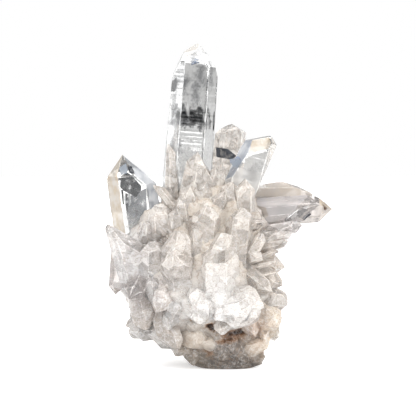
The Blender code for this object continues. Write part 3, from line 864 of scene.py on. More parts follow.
def grow_table(name, table, finish, seed, chip_count, deep=0.4, tint=CRYSTAL_TINT, rows=30, columns=6):
    """One piece from a table of crystals, whose tips slant at random and are chipped."""
    rng = np.random.default_rng(seed)
    root, tip, half = (np.array(column) for column in zip(*table.values()))
    made = len(root)
    chips = random_chips(rng, np.linalg.norm(tip - root, axis=-1), half, chip_count, deep)
    points, faces, values = grow(
        root, tip, half, rng.uniform(-0.4, 0.4, (made, 2)), rng.uniform(0, 60, made),
        rng.uniform(0.5, 4.0, made), chips, rng, rows, columns, bevel=0.10, steps=0.03)
    points[:, 2] = np.maximum(points[:, 2], 0.0)
    make_piece(name, points, faces, finish, "stained_quartz_matrix", ["matrix"],
               tint=region_tint(points / MM, tint), **values)


grow_table("middle_sharp", SHARP, milk, 11, 0)
grow_table("middle_glassy", GLASSY, milk, 12, 1)
grow_table("middle_frosted", FROSTED, frost, 13, 2, deep=0.5, tint=0.9)
grow_table("star", STAR, frost, 14, 1)

# %% [markdown]
# ## The rock under the crust
# The crystals sit on massive quartz. Its shape is an oval that changes with the height, so a grid with one
# direction round and one up covers it without gaps. Its skin isn't smooth: it is a pavement of blunt
# crystal tips that grew into each other. The highest of many small pyramids gives just that, with sharp
# valleys and flat sides. Sculpting it by hand would look alike, but couldn't be changed by a number.

# %% Rock
ROCK_ROWS = np.array((
    (-4.0, 1.5, 9.5, 11.0), (0.0, 1.3, 11.6, 13.5), (3.0, 0.6, 13.2, 16.5), (6.5, -2.2, 18.0, 20.0),
    (11.0, -5.6, 23.4, 23.0), (17.5, -5.0, 24.2, 24.4), (24.0, -6.8, 23.6, 24.4), (30.0, -6.8, 23.4, 23.6),
    (36.0, -6.8, 23.2, 22.4), (42.0, -6.6, 22.0, 20.6), (48.5, -5.2, 17.6, 18.0), (53.0, -3.6, 13.2, 15.5),
    (57.0, -2.6, 8.0, 10.5)))
ROCK_TOP = 57.0
FRONT_SHARE = 0.91              # the front half's depth, as a share of the depths in the table


def rock_surface(turn, height):
    """Points (mm) of the rock at a turn and a height: an oval whose middle and halves follow ROCK_ROWS."""
    middle, wide, deep = (np.interp(height, ROCK_ROWS[:, 0], ROCK_ROWS[:, k]) for k in (1, 2, 3))
    swell = 0.95 + 0.035 * (np.sin(5 * turn + 0.21 * height) + np.sin(3 * turn - 0.33 * height))
    deep = deep * np.where(np.sin(turn) < 0, FRONT_SHARE, 1.0)
    return np.stack([middle + wide * swell * np.cos(turn), deep * swell * np.sin(turn), height], -1)


def outward(turn, height):
    """Unit normals of the plain rock: the cross product of its tangents round and up."""
    here = rock_surface(turn, height)
    across = rock_surface(turn + 0.02, height) - here
    up = rock_surface(turn, height + 0.4) - here
    normal = np.cross(across, up)
    return normal / np.linalg.norm(normal, axis=-1, keepdims=True)


def spread(count, low, high):
    """An even scatter over the rock: turn and height advance by 0.7549 and 0.5698 of their ranges."""
    number = np.arange(count)
    turn = 2 * np.pi * ((0.5 + number * 0.75487766625) % 1.0)
    height = low + (high - low) * ((0.5 + number * 0.56984029100) % 1.0)
    return turn, height


def broken(points, count, swell, slope, flats, seed, reach=6.0):
    """Height (mm) of fused blunt points: the highest of many, level - slope * max over j of |d . m_j|.

    d runs from a point's place on the plain rock, and its few random unit vectors m_j give it flat sides.
    Only the rows of points within reach of it are looked at.
    """
    rng = np.random.default_rng(seed)
    middle = rock_surface(*spread(count, 0.0, ROCK_TOP)).astype(np.float32)
    points = points.astype(np.float32)
    level = rng.uniform(-swell, swell, count)
    side = rng.normal(0.0, 1.0, (count, 3, flats)).astype(np.float32)
    side /= np.linalg.norm(side, axis=1, keepdims=True)
    best = np.full(points.shape[:-1], -9.0, dtype=np.float32)
    for k in range(count):
        rows = slice(*np.searchsorted(points[:, 0, 2], middle[k, 2] + np.array([-reach, reach])))
        here = level[k] - slope * np.abs((points[rows] - middle[k]) @ side[k]).max(-1)
        best[rows] = np.maximum(best[rows], here)
    return best


# %% [markdown]
# ## Hollows and stains
# On the front of the foot, soil has settled in a row of pits. Each pit is a soft bell curve, and the same
# curve both pushes the surface in and tells the material where the brown is, so the two always agree.

# %% Hollows
# Middle (x, z), half width and half height, depth (all mm) and how strongly each hollow is stained.
HOLLOWS = (
    ((-3.9, 14.1), (1.3, 1.0), 1.6, 1.26), ((-2.7, 13.0), (1.0, 0.8), 0.8, 0.96),
    ((-8.1, 16.0), (3.4, 0.6), 0.8, 0.50), ((1.2, 11.6), (3.0, 0.9), 1.4, 0.66),
    ((5.3, 12.1), (2.4, 1.2), 1.8, 0.90), ((2.9, 9.8), (3.4, 1.1), 1.6, 0.74),
    ((11.3, 14.8), (2.0, 1.8), 0.5, 0.36), ((-1.3, 8.6), (3.0, 0.9), 1.2, 0.48),
    ((12.6, 4.6), (1.3, 1.2), 0.3, 0.72), ((-4.3, 5.6), (1.6, 2.0), 0.8, 0.60),
)


def in_hollow(points, what):
    """Sum over the hollows of their depth (what 2) or stain (what 3) times exp(-(dx/w)^2 - (dz/h)^2)."""
    total = np.zeros(points.shape[:-1])
    for hollow in HOLLOWS:
        (x, z), (wide, tall) = hollow[:2]
        near = np.exp(-((points[..., 0] - x) / wide) ** 2 - ((points[..., 2] - z) / tall) ** 2)
        total = total + hollow[what] * near
    return total * (points[..., 1] < 0)


# %% [markdown]
# ## Stained quartz
# The rock is milky quartz with a splintered skin. Higher up it is still a little see-through and shiny, and
# in the foot it is earthy and dull. Iron oxide fills the pits: ochre at the rim, then rust, then nearly
# black brown in the middle, broken up by a noise. A little scattering under the surface keeps the white
# parts from looking like plaster.

# %% Stained quartz
ROCK_CLEAR = 0.42               # the share of light that passes the rock's skin above the foot
COARSE_BELOW = 17.0             # mm, where the glassy quartz gives way to the earthy foot, which is also darkened as painted shade
ROCK_VEIN_WHITE = 0.22          # the rock has fewer white cracks than the milk,
ROCK_VEIN_BROWN = 0.45          # and about as many brown ones
# Iron oxide from thin to thick: how much of it there is, and its colour.
STAIN = ((0.25, "#aa8b6f"), (0.6, "#6e513b"), (0.95, "#2b1b11"))


def coarse_at(points):
    """How roughly the quartz is broken at points in mm, and how much painted shade of the foot they take: 1
    in the foot, 0 from COARSE_BELOW upwards.
    """
    return np.clip((COARSE_BELOW - points[..., 2]) / 5.0, 0.0, 1.0)


def rock_quartz(name):
    """Broken milky quartz: the region's tint, brown iron oxide in the hollow, a finely splintered skin."""
    made, tree, place = new_material(name)
    coarse = stored(tree, "coarse")
    clouds = noise(tree, place, 330.0, 8.0, 0.75)
    # Fewer pale clouds in the foot: partly its earthy colour, partly painted shade of the underside.
    white = maths(tree, "MULTIPLY", fit(tree, clouds, 0.45, 0.65, 0.0, 0.3),
                  maths(tree, "MULTIPLY_ADD", coarse, -0.7, 1.0))
    paler = blend(tree, white, stored(tree, "tint", "Color"), linear("#fbfaf8"))
    colour = blend(tree, grain(tree, place), paler, GRAIN_COLOUR)
    level = maths(tree, "ADD", stored(tree, "iron"), maths(tree, "MULTIPLY_ADD", clouds, 1.9, -0.95))
    oxide = add(tree, "ValToRGB", {"Fac": level})
    oxide.color_ramp.elements.new(0.5)
    for element, (position, tone) in zip(oxide.color_ramp.elements, STAIN):
        element.position = position
        element.color = linear(tone)
    amount = fit(tree, level, 0.2, 0.55, 0.0, 1.0)
    stained = blend(tree, amount, colour, oxide.outputs["Color"])
    fine = noise(tree, place, 900.0, 6.0)
    bump = add(tree, "Bump", {"Distance": 0.0008, "Height": fine,
                              "Strength": maths(tree, "MULTIPLY_ADD", coarse, 0.7, 0.1)})
    dull = maths(tree, "MULTIPLY_ADD", coarse, 0.3, 0.04)
    solid = maths(tree, "MAXIMUM", amount, coarse)
    surface(tree, {"IOR": QUARTZ_IOR, "Subsurface Weight": 0.3, "Subsurface Scale": 1.0,
                   "Subsurface Radius": (0.0004, 0.00035, 0.0003),
                   "Base Color": veins(tree, place, 300.0, stained, ROCK_VEIN_WHITE, ROCK_VEIN_BROWN),
                   "Roughness": maths(tree, "MULTIPLY_ADD", fine, 0.2, dull), "Normal": bump.outputs[0],
                   "Transmission Weight": maths(tree, "MULTIPLY_ADD", solid, -ROCK_CLEAR, ROCK_CLEAR)})
    return made


# Splintered by growth and by the hammer: sparkling above, chalky and brown in the foot, where the brown is
# partly painted shade.
stained_rock = rock_quartz("milky quartz, broken, iron-stained")

# %% [markdown]
# ## Making the rock
# The plain oval is moved outward by the pyramids, large ones and small ones, and inward by the hollows. The
# foot is clamped to the flat cut that the cluster stands on.

# %% Make the rock
ROCK_SHADE = 0.92               # the rock is a little darker than the tints of the quartz on it
FOOT_EARTH_AND_PAINTED_SHADE = 0.53               # and its foot is darker still by this much: partly its earthy grey-brown, partly painted shade of the underside
ROCK_ROWS_MADE = 200
ROCK_COLUMNS = 380
heights = np.linspace(0.0, ROCK_TOP, ROCK_ROWS_MADE)[:, None]
turns = np.linspace(0, 2 * np.pi, ROCK_COLUMNS, endpoint=False)[None, :]
heights, turns = np.broadcast_arrays(heights, turns)
plain = rock_surface(turns, heights)
large = broken(plain, count=460, swell=1.2, slope=0.62, flats=5, seed=5)
small = broken(plain, count=1400, swell=0.5, slope=0.6, flats=4, seed=6, reach=3.0)
lumps = 0.6 + large + 0.3 * small
lumps = lumps - 1.2 * coarse_at(plain)
fade = np.clip(heights / 2.0, 0, 1) * np.clip((ROCK_TOP - heights) / 4.0, 0, 1)
rock = plain + (lumps * fade)[..., None] * outward(turns, heights)
rock[..., 1] += in_hollow(rock, 2)
rock[..., 2] = np.maximum(rock[..., 2], 0.0)
rock[0, :, 2] = 0.0
rock_poles = np.array([[1.3, 0.0, 0.0], [-2.6, 0.0, ROCK_TOP + 1.0]])
rock_points = np.concatenate([rock.reshape(-1, 3), rock_poles])
coarse = coarse_at(rock_points)
# The foot takes all of its regions' tint and is darkened further: partly its own earthy grey-brown, partly
# painted shade of the underside, which turns from the light.
rock_tint = region_tint(rock_points, 0.7 + 0.3 * coarse[:, None])
rock_tint = rock_tint * (ROCK_SHADE - FOOT_EARTH_AND_PAINTED_SHADE * coarse[:, None])
make_piece("rock", rock_points * MM, ring_faces(ROCK_ROWS_MADE, ROCK_COLUMNS), stained_rock,
           "stained_quartz_matrix", ["matrix"], sharp_deg=20, tint=rock_tint,
           iron=in_hollow(rock_points, 3), coarse=coarse)
print("lumps from", lumps.min().round(2), "to", lumps.max().round(2), "mm")

# %% [markdown]
# ## Broken lumps
# A few rounded lumps of broken quartz hang over the foot. Breaking leaves many small planes at random
# angles, so each lump is a ball cut by thirty of them, which gives blunt corners that no noise would give.

# %% Broken lumps


def broken_lumps(centre, half, planes, rng, rows=48, columns=72):
    """Points (mm) and faces of convex broken lumps, a sphere grid of directions u for each.

    Each lump is what many random planes leave of it: r(u) = min over k of d_k / (u . n_k), then it is
    stretched by half.
    """
    centre = np.asarray(centre, dtype=float)
    half = np.asarray(half, dtype=float)
    count = len(centre)
    fall = np.linspace(0, np.pi, rows + 2)[1:-1, None]
    turn = np.linspace(0, 2 * np.pi, columns, endpoint=False)[None, :]
    u = np.stack(np.broadcast_arrays(np.sin(fall) * np.cos(turn), np.sin(fall) * np.sin(turn), -np.cos(fall)),
                 -1).reshape(-1, 3)
    u = np.concatenate([u, [[0, 0, -1], [0, 0, 1]]])
    normal = rng.normal(0, 1, (count, planes, 3))
    normal /= np.linalg.norm(normal, axis=-1, keepdims=True)
    off = rng.uniform(0.74, 1.05, (count, planes, 1))
    facing = np.einsum("npj,kj->npk", normal, u)
    radius = np.min(np.where(facing > 0.05, off / np.maximum(facing, 0.05), 1.25), axis=1)
    points = centre[:, None] + half[:, None] * radius[..., None] * u
    return points.reshape(-1, 3), ring_faces(rows, columns, count)


# Middle and half size (mm) of each lump.
LUMPS = (
    ((-8.2, -14.6, 10.4), (5.2, 4.4, 3.9)), ((-4.6, -14.0, 8.8), (3.6, 3.8, 2.6)),
    ((8.8, -11.6, 6.4), (4.2, 4.2, 2.9)), ((5.8, -11.4, 5.4), (2.6, 2.6, 2.0)),
    ((11.6, -8.4, 8.6), (3.4, 4.0, 3.6)), ((-12.4, -12.8, 13.0), (3.6, 3.8, 3.0)),
    ((-1.0, -8.8, 3.4), (4.2, 3.6, 2.9)), ((4.6, -8.4, 2.8), (3.8, 3.6, 2.3)),
    ((10.0, -6.8, 2.6), (3.6, 3.8, 2.2)), ((1.6, -11.6, 7.4), (3.2, 2.4, 2.2)),
)
LUMP_SHADE = 0.68               # how light they are, as a share of the tints of the quartz
LUMP_IRON = 0.6                 # how much of the hollows' stain they take
points, faces = broken_lumps(*zip(*LUMPS), planes=30, rng=np.random.default_rng(21))
points[:, 2] = np.maximum(points[:, 2], 0.0)
make_piece("lumps", points * MM, faces, stained_rock, "stained_quartz_matrix", ["matrix"], sharp_deg=22,
           tint=LUMP_SHADE * region_tint(points), iron=LUMP_IRON * in_hollow(points, 3),
           coarse=coarse_at(points))

# %% [markdown]
# ## The druse
# The rest of the rock is covered by small crystals. They are spread evenly by two irrational steps, then
# each leans a little outward and a little at random, with sizes that follow a gamma distribution: many
# small ones and a few large. The back has taller ones, since no large crystals stand there.

# %% Druse
DRUSE_COUNT = 420               # the front is left to the crystals listed one by one
DRUSE_CENTRE = np.array([-4.0, 0.0, 30.0])
rng = np.random.default_rng(4)
druse_turn, druse_height = spread(DRUSE_COUNT, 8.0, 56.0)
on_rock = rock_surface(druse_turn, druse_height)
# Three places belong to the crystals listed one by one: the front of the foot, a block above it, and the top.
front_foot = (on_rock[:, 1] < -4) & (on_rock[:, 2] < 19)
block = (on_rock[:, 1] < 0) & (np.hypot((on_rock[:, 0] + 4.0) / 17, (on_rock[:, 2] - 33) / 19) < 1)
front_top = (on_rock[:, 1] < -1) & (on_rock[:, 2] > 40)
kept = ~(front_foot | block | front_top)
on_rock = on_rock[kept]
normal = outward(druse_turn[kept], druse_height[kept])
away = on_rock - DRUSE_CENTRE
away /= np.linalg.norm(away, axis=-1, keepdims=True)
lean = 0.7 * normal + 0.6 * away + rng.normal(0, 0.25, on_rock.shape)
lean /= np.linalg.norm(lean, axis=-1, keepdims=True)
made = len(on_rock)
print("druse:", made, "of", DRUSE_COUNT, "crystals kept")
radius = rng.gamma(7.0, 0.34, made).clip(1.2, 4.4)
out = radius * rng.uniform(0.2, 0.9, made) * np.where(on_rock[:, 1] > 4, 1.6, 1.0)
druse_half = np.stack([radius, radius * rng.uniform(0.6, 1.0, made)], -1)
chips = random_chips(rng, 5.0 + out, druse_half, 1, 0.5)
points, faces, values = grow(
    on_rock - lean * 5.0, on_rock + lean * out[:, None],
    druse_half, rng.uniform(-0.4, 0.4, (made, 2)), rng.uniform(0, 60, made), rng.uniform(0.5, 4.0, made),
    chips, rng, rows=8, columns=2, bevel=0.07, steps=0.02)
make_piece("druse", points, faces, milk, "stained_quartz_matrix", ["matrix"],
           tint=region_tint(points / MM, CRYSTAL_TINT), **values)

# %% [markdown]
# ## What is sealed in the crystals
# A crystal that grew in bursts, and was knocked while it grew, holds cracks that healed again. A crack that
# still holds a film of air reflects light, so it looks like a silvery or a dark mirror, with straight ends
# where it stops at old faces; here that reflection is painted, as the film's own silvery, grey, bluish or
# dark colour. A healed one is a veil of tiny bubbles, and looks white. Both are made as thin closed lenses,
# in the places where they would be looked for, and their films are torn by a noise.

# %% Films


def films(centre, tilt, lean, half, bend, rng, around, thick=0.03):
    """Points (m), faces and values of thin closed lenses, one for each row of the arguments.

    A slice at share s lies at radius sin(pi s) and at -thick cos(pi s) off the middle plane. The outline is
    ragged, 1 + random / 4 at each corner, and bend lifts the film by bend * radius^2. The value inner is
    1 - radius.
    """
    centre, half = np.asarray(centre, dtype=float), np.asarray(half, dtype=float)
    count = len(centre)
    tilt = np.radians(tilt)
    across = np.stack([np.cos(tilt), 0 * tilt, np.sin(tilt)], -1)
    up = np.stack([-np.sin(tilt), np.asarray(lean, dtype=float) + 0 * tilt, np.cos(tilt)], -1)
    up /= np.linalg.norm(up, axis=-1, keepdims=True)
    normal = np.cross(across, up)
    share = np.linspace(0, 1, 11)[1:-1]
    angle = np.linspace(0, 2 * np.pi, around, endpoint=False)
    ragged = 1 + rng.uniform(-0.25, 0.25, (count, 1, around))
    radius = np.sin(np.pi * share)[None, :, None] * ragged
    u = radius * np.cos(angle) * half[:, 0, None, None]
    v = radius * np.sin(angle) * half[:, 1, None, None]
    w = thick * -np.cos(np.pi * share)[None, :, None] + np.asarray(bend)[:, None, None] * radius ** 2
    poles = np.zeros((count, 2))
    u, v, w = (np.concatenate([part.reshape(count, -1), poles], 1) for part in (u, v, w))
    w[:, -2:] = [-thick, thick]
    local = u[..., None] * across[:, None] + v[..., None] * up[:, None] + w[..., None] * normal[:, None]
    points = (centre[:, None] + local).reshape(-1, 3) * MM
    inner = np.concatenate([np.broadcast_to(1 - np.sin(np.pi * share)[None, :, None], radius.shape)
                            .reshape(count, -1), poles + 1], 1)
    return points, ring_faces(len(share), around, count), {"inner": inner.ravel()}


def joined(parts):
    """Points, faces and the value inner of several such parts as one: each is numbered on from the last."""
    first = np.cumsum([0] + [len(points) for points, _, _ in parts]).tolist()
    faces = [[v + start for v in face] for start, part in zip(first, parts) for face in part[1]]
    return (np.concatenate([points for points, _, _ in parts]), faces,
            {"inner": np.concatenate([values["inner"] for _, _, values in parts])})


def film_finish(name, tint, most, scale, torn, stretch=(1.0, 1.0, 1.0), rough=0.3):
    """A film whose cover is most where noise + torn * (inner - 1) is high: its rim is torn by the noise."""
    made, tree, place = new_material(name)
    pulled = add(tree, "Mapping", {"Scale": stretch, "Vector": place}).outputs[0]
    pull = maths(tree, "MULTIPLY_ADD", stored(tree, "inner"), torn, -torn)
    level = maths(tree, "ADD", noise(tree, pulled, scale, 6.0, 0.65), pull)
    surface(tree, {"Base Color": linear(tint), "Roughness": rough,
                   "Alpha": fit(tree, level, 0.22, 0.50, 0.0, most)})
    return made


UPRIGHT = (1.0, 1.0, 0.22)
# The cracks are real, but the dark, dull, grey and bright colours of the air films are painted reflections,
# the bluish one is a painted glint, and the faint grey one is painted shade. Cream, brown, veil and streak
# are the cracks' own colours.
FILM_FINISH = {
    "mirror": film_finish("air film in a crack, painted dark reflection", "#30333a", 0.94, 500.0, 0.0, rough=0.15),
    "bright": film_finish("air film in a crack, painted bright reflection", "#f4f6f8", 0.92, 500.0, 0.0, rough=0.12),
    "dusk": film_finish("air film in a crack, painted dull reflection", "#4c5057", 0.86, 500.0, 0.0, rough=0.2),
    "mist": film_finish("air film in a crack, painted grey reflection", "#8e959e", 0.66, 500.0, 0.0, rough=0.15),
    "dark": film_finish("air film in a crack, torn, painted dark reflection", "#24272b", 0.92, 620.0, 0.34, rough=0.2),
    "painted_grey": film_finish("air film in a crack, faint, painted grey shade", "#75777c", 0.50, 380.0, 0.30),
    "blue": film_finish("air film in a crack, thin, painted bluish glint", "#97a5bf", 0.70, 500.0, 0.12, rough=0.15),
    "brown": film_finish("iron-stained crack, earthy", "#5d4634", 0.85, 700.0, 0.35, rough=0.5),
    "cream": film_finish("healed crack, stained cream", "#eadfce", 0.60, 300.0, 0.20, rough=0.5),
    "veil": film_finish("healed crack, veil of bubbles", "#ffffff", 0.62, 520.0, 0.40, rough=0.5),
    "streak": film_finish("healed crack, drawn out upwards", "#ffffff", 0.90, 1100.0, 0.45, UPRIGHT, 0.4),
}

# %% [markdown]
# ## The films of the clear points
# The clear points are the ones one looks into, so their films are listed one by one: a torn dark film across
# the main point, faint grey clouds above and below it, and white veils near its root and tip.

# %% Films in their places
# Kind: middle (mm), half width and half height, tilt in degrees, bend (mm), corners.
# In the clear points, the dark and mirror films are painted reflections, and the faint grey clouds are
# painted shade.
FILMS = {
    "mirror": (
        ((-2.9, -0.5, 76.4), (0.5, 3.2), 4, 0.1, 6),
    ),
    "dark": (
        ((-6.8, -1.8, 77.4), (3.0, 4.6), 4, 0.4, 11), ((-11.9, -1.2, 78.2), (1.9, 4.2), 4, 0.2, 9),
        ((-9.6, -0.8, 77.0), (5.6, 4.8), 4, 0.4, 12), ((-4.2, -2.8, 76.0), (1.0, 3.4), 4, 0.1, 7),
        ((24.0, -3.4, 47.6), (4.0, 1.6), 34, 0.1, 10), ((-19.0, -10.4, 43.6), (2.2, 0.9), 0, 0.1, 8),
    ),
    "painted_grey": (
        ((-6.9, 1.5, 90.0), (3.4, 5.6), 0, 0.5, 12), ((-12.0, 1.5, 88.0), (3.4, 5.0), -10, 0.5, 12),
        ((-12.4, -1.2, 77.0), (4.6, 4.6), 4, 0.6, 12), ((-8.2, -1.0, 84.4), (2.6, 3.8), 0, 0.3, 10),
        ((-13.6, -0.4, 79.0), (2.4, 7.4), 4, 0.4, 12), ((-14.0, -0.4, 68.0), (2.4, 6.0), 4, 0.4, 12),
        ((9.6, -1.5, 60.0), (2.4, 5.8), -20, 0.3, 9), ((-31.2, -8.0, 32.0), (1.6, 3.6), 8, 0.3, 8),
        ((-27.4, 1.0, 49.0), (3.6, 5.4), 4, 0.3, 8), ((-26.6, 3.4, 46.0), (4.4, 6.0), 4, 0.3, 8),
        ((17.5, -4.0, 48.4), (6.6, 2.6), 4, 0.2, 9), ((7.2, -24.8, 16.8), (1.8, 0.6), 42, 0.1, 8),
        ((4.8, -23.0, 21.4), (1.6, 0.5), 40, 0.1, 8),
    ),
    "blue": (
        ((4.4, -2.2, 63.4), (2.2, 1.5), 12, 0.2, 5),
        ((-9.0, -2.6, 94.4), (1.7, 1.4), 0, 0.1, 3), ((-19.0, -17.0, 22.6), (1.4, 1.7), 20, 0.1, 5),
    ),
    "brown": (
        ((31.8, -1.4, 49.6), (1.7, 1.5), 20, 0.1, 5), ((-24.2, -15.5, 25.4), (0.9, 0.8), 0, 0.1, 6),
        ((9.8, -15.6, 43.4), (1.3, 0.6), 8, 0.1, 6),
    ),
    "cream": (
        ((14.8, 5.0, 54.2), (7.0, 2.0), 4, 0.3, 6), ((-9.0, -17.0, 40.0), (3.0, 4.0), 4, 0.3, 6),
    ),
    "veil": (
        ((-8.6, -3.0, 96.4), (4.4, 2.0), 5, 0.4, 12), ((-7.0, -4.6, 81.6), (1.6, 1.6), 0, 0.3, 12),
        ((-10.8, -2.0, 62.0), (6.4, 8.0), 4, 0.9, 14), ((-10.2, 1.0, 66.0), (6.0, 7.4), 4, -0.9, 14),
        ((-11.4, 3.0, 58.0), (6.4, 8.4), 4, 0.7, 14), ((-26.0, -1.5, 43.0), (5.8, 4.4), 0, -0.5, 12),
        # The last entry on the next line and the one line after it are painted highlights: two white strokes
        # on the arched stub.
        ((10.6, 0.0, 58.5), (5.0, 5.6), -20, 0.6, 12), ((-20.9, -13.6, 44.8), (0.9, 2.2), 6, 0.1, 7),
        ((-18.5, -14.0, 43.9), (0.9, 2.4), 6, 0.1, 7),
        ((2.6, 12.4, 70.4), (4.4, 3.8), 0, 0.4, 10), ((4.4, -3.0, 59.6), (2.0, 2.3), 5, 0.2, 6),
        ((-14.6, -1.8, 83.0), (2.4, 5.6), 0, 0.4, 10),
    ),
    "streak": (
        ((-10.8, -3.4, 81.0), (1.1, 5.4), 4, 0.2, 10), ((-5.3, -3.2, 76.2), (0.7, 4.8), 4, 0.1, 8),
        ((-13.4, -3.0, 74.0), (0.9, 5.4), 3, 0.2, 8), ((-12.6, -3.4, 61.0), (1.6, 7.6), 4, 0.3, 10),
        ((-7.6, -4.2, 63.0), (1.4, 6.6), 4, 0.3, 10),
    ),
}
rng = np.random.default_rng(8)
for kind, rows in FILMS.items():
    parts = [films([middle], np.array([tilt]), 0.15, [half], [bend], rng, corners)
             for middle, half, tilt, bend, corners in rows]
    points, faces, values = joined(parts)
    make_piece("films_" + kind, points, faces, FILM_FINISH[kind], "clear_rock_crystal",
               ["main_point", "left_point"], **values)

# %% [markdown]
# ## Straight-edged panes
# Some films end at straight edges, because an old crystal face stopped the crack. They lie just under a
# face and are parallel to it. Their outline is given as seen from the front, and the depth of each corner
# then follows from the plane of the face.

# %% Panes
# Finish, crystal, 1 under a sloping face or 0 under a prism face, side, depth (mm; below 0 the pane lies on
# the face instead of under it), outline (x, z in mm).
# The mirror, dusk, mist and bright panes are painted reflections; the dusk pane lies on the back point's face
# and paints the dark reflection of that face.
PANES = (
    ("mirror", "left_point", 0, 4, 0.5, ((-31.5, 59.2), (-29.6, 60.3), (-28.3, 59.5), (-25.2, 56.1),
     (-25.2, 54.8), (-26.8, 52.6), (-30.5, 54.5), (-31.8, 55.8))),
    ("mirror", "left_point", 0, 4, 0.6, ((-29.4, 62.1), (-28.2, 62.3), (-27.3, 60.4), (-27.4, 58.6),
     (-28.7, 59.7))),
    ("mist", "left_point", 0, 4, 0.4, ((-32.1, 61.7), (-29.9, 63.2), (-29.3, 61.1), (-29.6, 60.1),
     (-31.5, 59.5))),
    ("bright", "left_point", 0, 4, 0.3, ((-29.0, 60.0), (-28.5, 60.1), (-24.6, 57.0), (-24.9, 56.5))),
    ("mirror", "left_point", 0, 4, 0.9, ((-31.5, 54.8), (-30.8, 55.0), (-30.5, 50.2), (-31.0, 50.5))),
    ("bright", "left_point", 0, 4, 1.2, ((-29.3, 54.2), (-28.7, 54.5), (-28.3, 50.8), (-29.0, 49.8))),
    ("mirror", "left_point", 0, 4, 1.4, ((-30.2, 53.9), (-29.3, 53.6), (-29.6, 51.7), (-30.2, 52.0))),
    ("mirror", "left_point", 0, 4, 1.0, ((-29.9, 50.8), (-29.3, 50.5), (-29.4, 47.7), (-29.9, 48.6))),
    ("bright", "left_point", 0, 4, 0.8, ((-30.5, 53.0), (-30.1, 53.0), (-29.9, 50.5), (-30.3, 50.8))),
    ("mist", "left_point", 0, 4, 2.2, ((-30.5, 52.0), (-23.7, 55.4), (-23.4, 44.2), (-29.3, 43.6))),
    ("mirror", "left_point", 0, 3, 0.2, ((-36.1, 57.2), (-35.8, 57.2), (-34.6, 47.3), (-34.9, 47.3))),
    ("mirror", "main_point", 0, 3, 0.4,
     ((-16.0, 85.4), (-15.6, 88.2), (-13.9, 89.9), (-13.9, 87.2), (-14.6, 85.4))),
    ("dusk", "back_point", 0, 4, -0.03,
     ((-1.9, 67.9), (1.9, 67.3), (4.7, 65.1), (3.1, 63.9), (-1.7, 64.8))),
    ("brown", "right_group_2", 0, 4, 0.5, ((30.8, 51.2), (34.0, 48.9), (30.2, 48.0))),
    ("mist", "blade_crystal", 0, 4, 0.8, ((2.2, 64.5), (5.0, 64.9), (6.5, 63.2), (5.6, 61.7), (3.4, 62.0))),
    ("mirror", "right_group_3", 0, 4, 2.6, ((19.3, 45.8), (21.5, 47.7), (22.1, 46.4), (19.9, 44.5))),
    ("mirror", "right_group_3", 0, 4, 3.0, ((23.1, 48.0), (25.9, 49.8), (26.5, 48.9), (24.0, 46.4))),
    ("mirror", "right_group_3", 0, 4, 3.2, ((24.6, 46.1), (27.1, 48.3), (27.7, 47.3), (25.5, 45.5))),
    ("bright", "right_group_3", 0, 4, 2.4, ((21.2, 46.4), (23.1, 48.3), (23.4, 47.3), (21.8, 45.5))),
    ("bright", "right_group_3", 0, 4, 2.8, ((24.9, 49.5), (27.1, 50.2), (26.2, 48.9))),
    ("veil", "right_group_3", 0, 4, 0.2, ((25.2, 50.5), (25.6, 50.3), (18.4, 44.7), (18.1, 44.8))),
)


def pane(size, upper, side, depth, outline, thick=0.04, strides=4):
    """Points (m), faces and the value inner of a thin closed sheet with straight edges under a face.

    The face is the plane n . x = d in the crystal's frame: n = (cos t, sin t, tan taper) and d = flat for a
    prism face, n = (cos t, sin t, 1 / tan slope) and d = apex . n + length / tan slope for a sloping one.
    The outline is laid in x and z, and each corner's y follows from the plane.
    """
    root, tip = np.array(size["root"]), np.array(size["tip"])
    half, apex = np.array(size["half"]), np.array(size.get("apex", (0.0, 0.0)))
    length = np.linalg.norm(tip - root)
    turn = math.radians(30 + size.get("roll", 0.0) + 60 * side)
    u = np.array([math.cos(turn), math.sin(turn)])
    rise = 1 / math.tan(FACE_SLOPE) if upper else math.tan(math.radians(size.get("taper", 1.0)))
    reach = (apex * half) @ u + length * rise if upper else HALF_HEX * np.hypot(*(half * u))
    normal = axis_frame(root, tip) @ np.array([u[0], u[1], rise])
    reach = reach - depth * np.linalg.norm(normal)
    corner = np.array(outline)
    x, z = corner[:, 0], corner[:, 1]
    y = root[1] + (reach - normal[0] * (x - root[0]) - normal[2] * (z - root[2])) / normal[1]
    corner = np.stack([x, y, z], -1)
    stride = np.linspace(0, 1, strides, endpoint=False)[None, :, None]
    rim = (corner[:, None] * (1 - stride) + np.roll(corner, -1, 0)[:, None] * stride).reshape(-1, 3)
    middle = rim.mean(0)
    normal = normal / np.linalg.norm(normal)
    share = np.linspace(0, 1, 9)[1:-1]
    out = np.sin(np.pi * share)[:, None, None]
    sheet = middle + out * (rim - middle) - thick * np.cos(np.pi * share)[:, None, None] * normal
    poles = middle + np.array([[-thick], [thick]]) * normal
    points = np.concatenate([sheet.reshape(-1, 3), poles]) * MM
    inner = np.concatenate([np.broadcast_to(1 - out[..., 0], (len(share), len(rim))).ravel(), [1.0, 1.0]])
    return points, ring_faces(len(share), len(rim)), {"inner": inner}


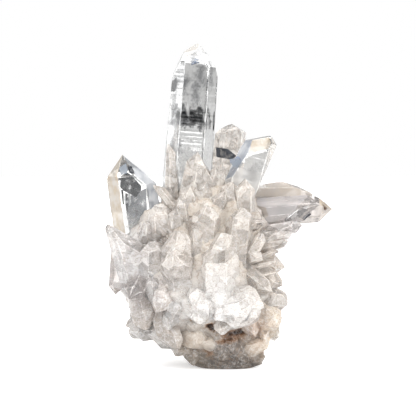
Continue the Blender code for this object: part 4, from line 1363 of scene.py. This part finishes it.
SIZES = {name: size for _, name, size in ALL_LARGE}
for kind in dict.fromkeys(row[0] for row in PANES):
    parts = [pane(SIZES[node], upper, side, depth, outline)
             for row_kind, node, upper, side, depth, outline in PANES if row_kind == kind]
    points, faces, values = joined(parts)
    make_piece("panes_" + kind, points, faces, FILM_FINISH[kind], "clear_rock_crystal",
               ["main_point", "left_point"], **values)

# %% [markdown]
# ## Small veils everywhere else
# No natural crystal is empty. A few small veils and clouds at random places inside each of the other
# crystals break up what one sees through them. They stay near the axis, so that none reaches the surface.

# %% Veils in every other crystal
FILMS_EACH = 5                  # in each crystal,
VEILS_EACH = 3                  # so many of them white veils, and the rest grey clouds of painted shade
hosts = [(size["root"], size["tip"], size["half"]) for _, _, size in ALL_LARGE[1:]]
hosts += list(SHARP.values()) + list(GLASSY.values()) + list(FROSTED.values())
host_root, host_tip, host_half = (np.repeat(np.array(column), FILMS_EACH, 0) for column in zip(*hosts))
made = len(host_root)
share = rng.uniform(0.2, 0.68, (made, 1))
size = host_half.min(-1, keepdims=True) * rng.uniform(0.2, 0.42, (made, 1))
middle = host_root + share * (host_tip - host_root)
middle += rng.uniform(-0.25, 0.25, (made, 3)) * host_half.min(-1, keepdims=True)
middle[:, 2] = np.maximum(middle[:, 2], size[:, 0] + 1.0)
white = np.arange(made) % FILMS_EACH < VEILS_EACH
for kind, chosen in (("veil", white), ("painted_grey", ~white)):
    count = int(chosen.sum())
    points, faces, values = films(
        middle[chosen], rng.uniform(-90, 90, count), rng.uniform(-1.5, 1.5, count),
        size[chosen] * rng.uniform(0.5, 1.2, (count, 2)), rng.uniform(-0.3, 0.3, count), rng, 9, 0.02)
    make_piece("small_%ss" % kind, points, faces, FILM_FINISH[kind], "milky_quartz",
               ["front_group", "matrix"], **values)

# %% [markdown]
# ## Light paths
# Light has to cross many faces before it leaves a heap of crystals. With short paths the heap turns grey
# in the middle, so the paths are allowed to be long.

# %% Light paths
cycles = bpy.context.scene.cycles
cycles.max_bounces = 28
cycles.transmission_bounces = 26
cycles.diffuse_bounces = 6
cycles.glossy_bounces = 8
cycles.transparent_max_bounces = 32
print("a ray may turn", cycles.max_bounces, "times")
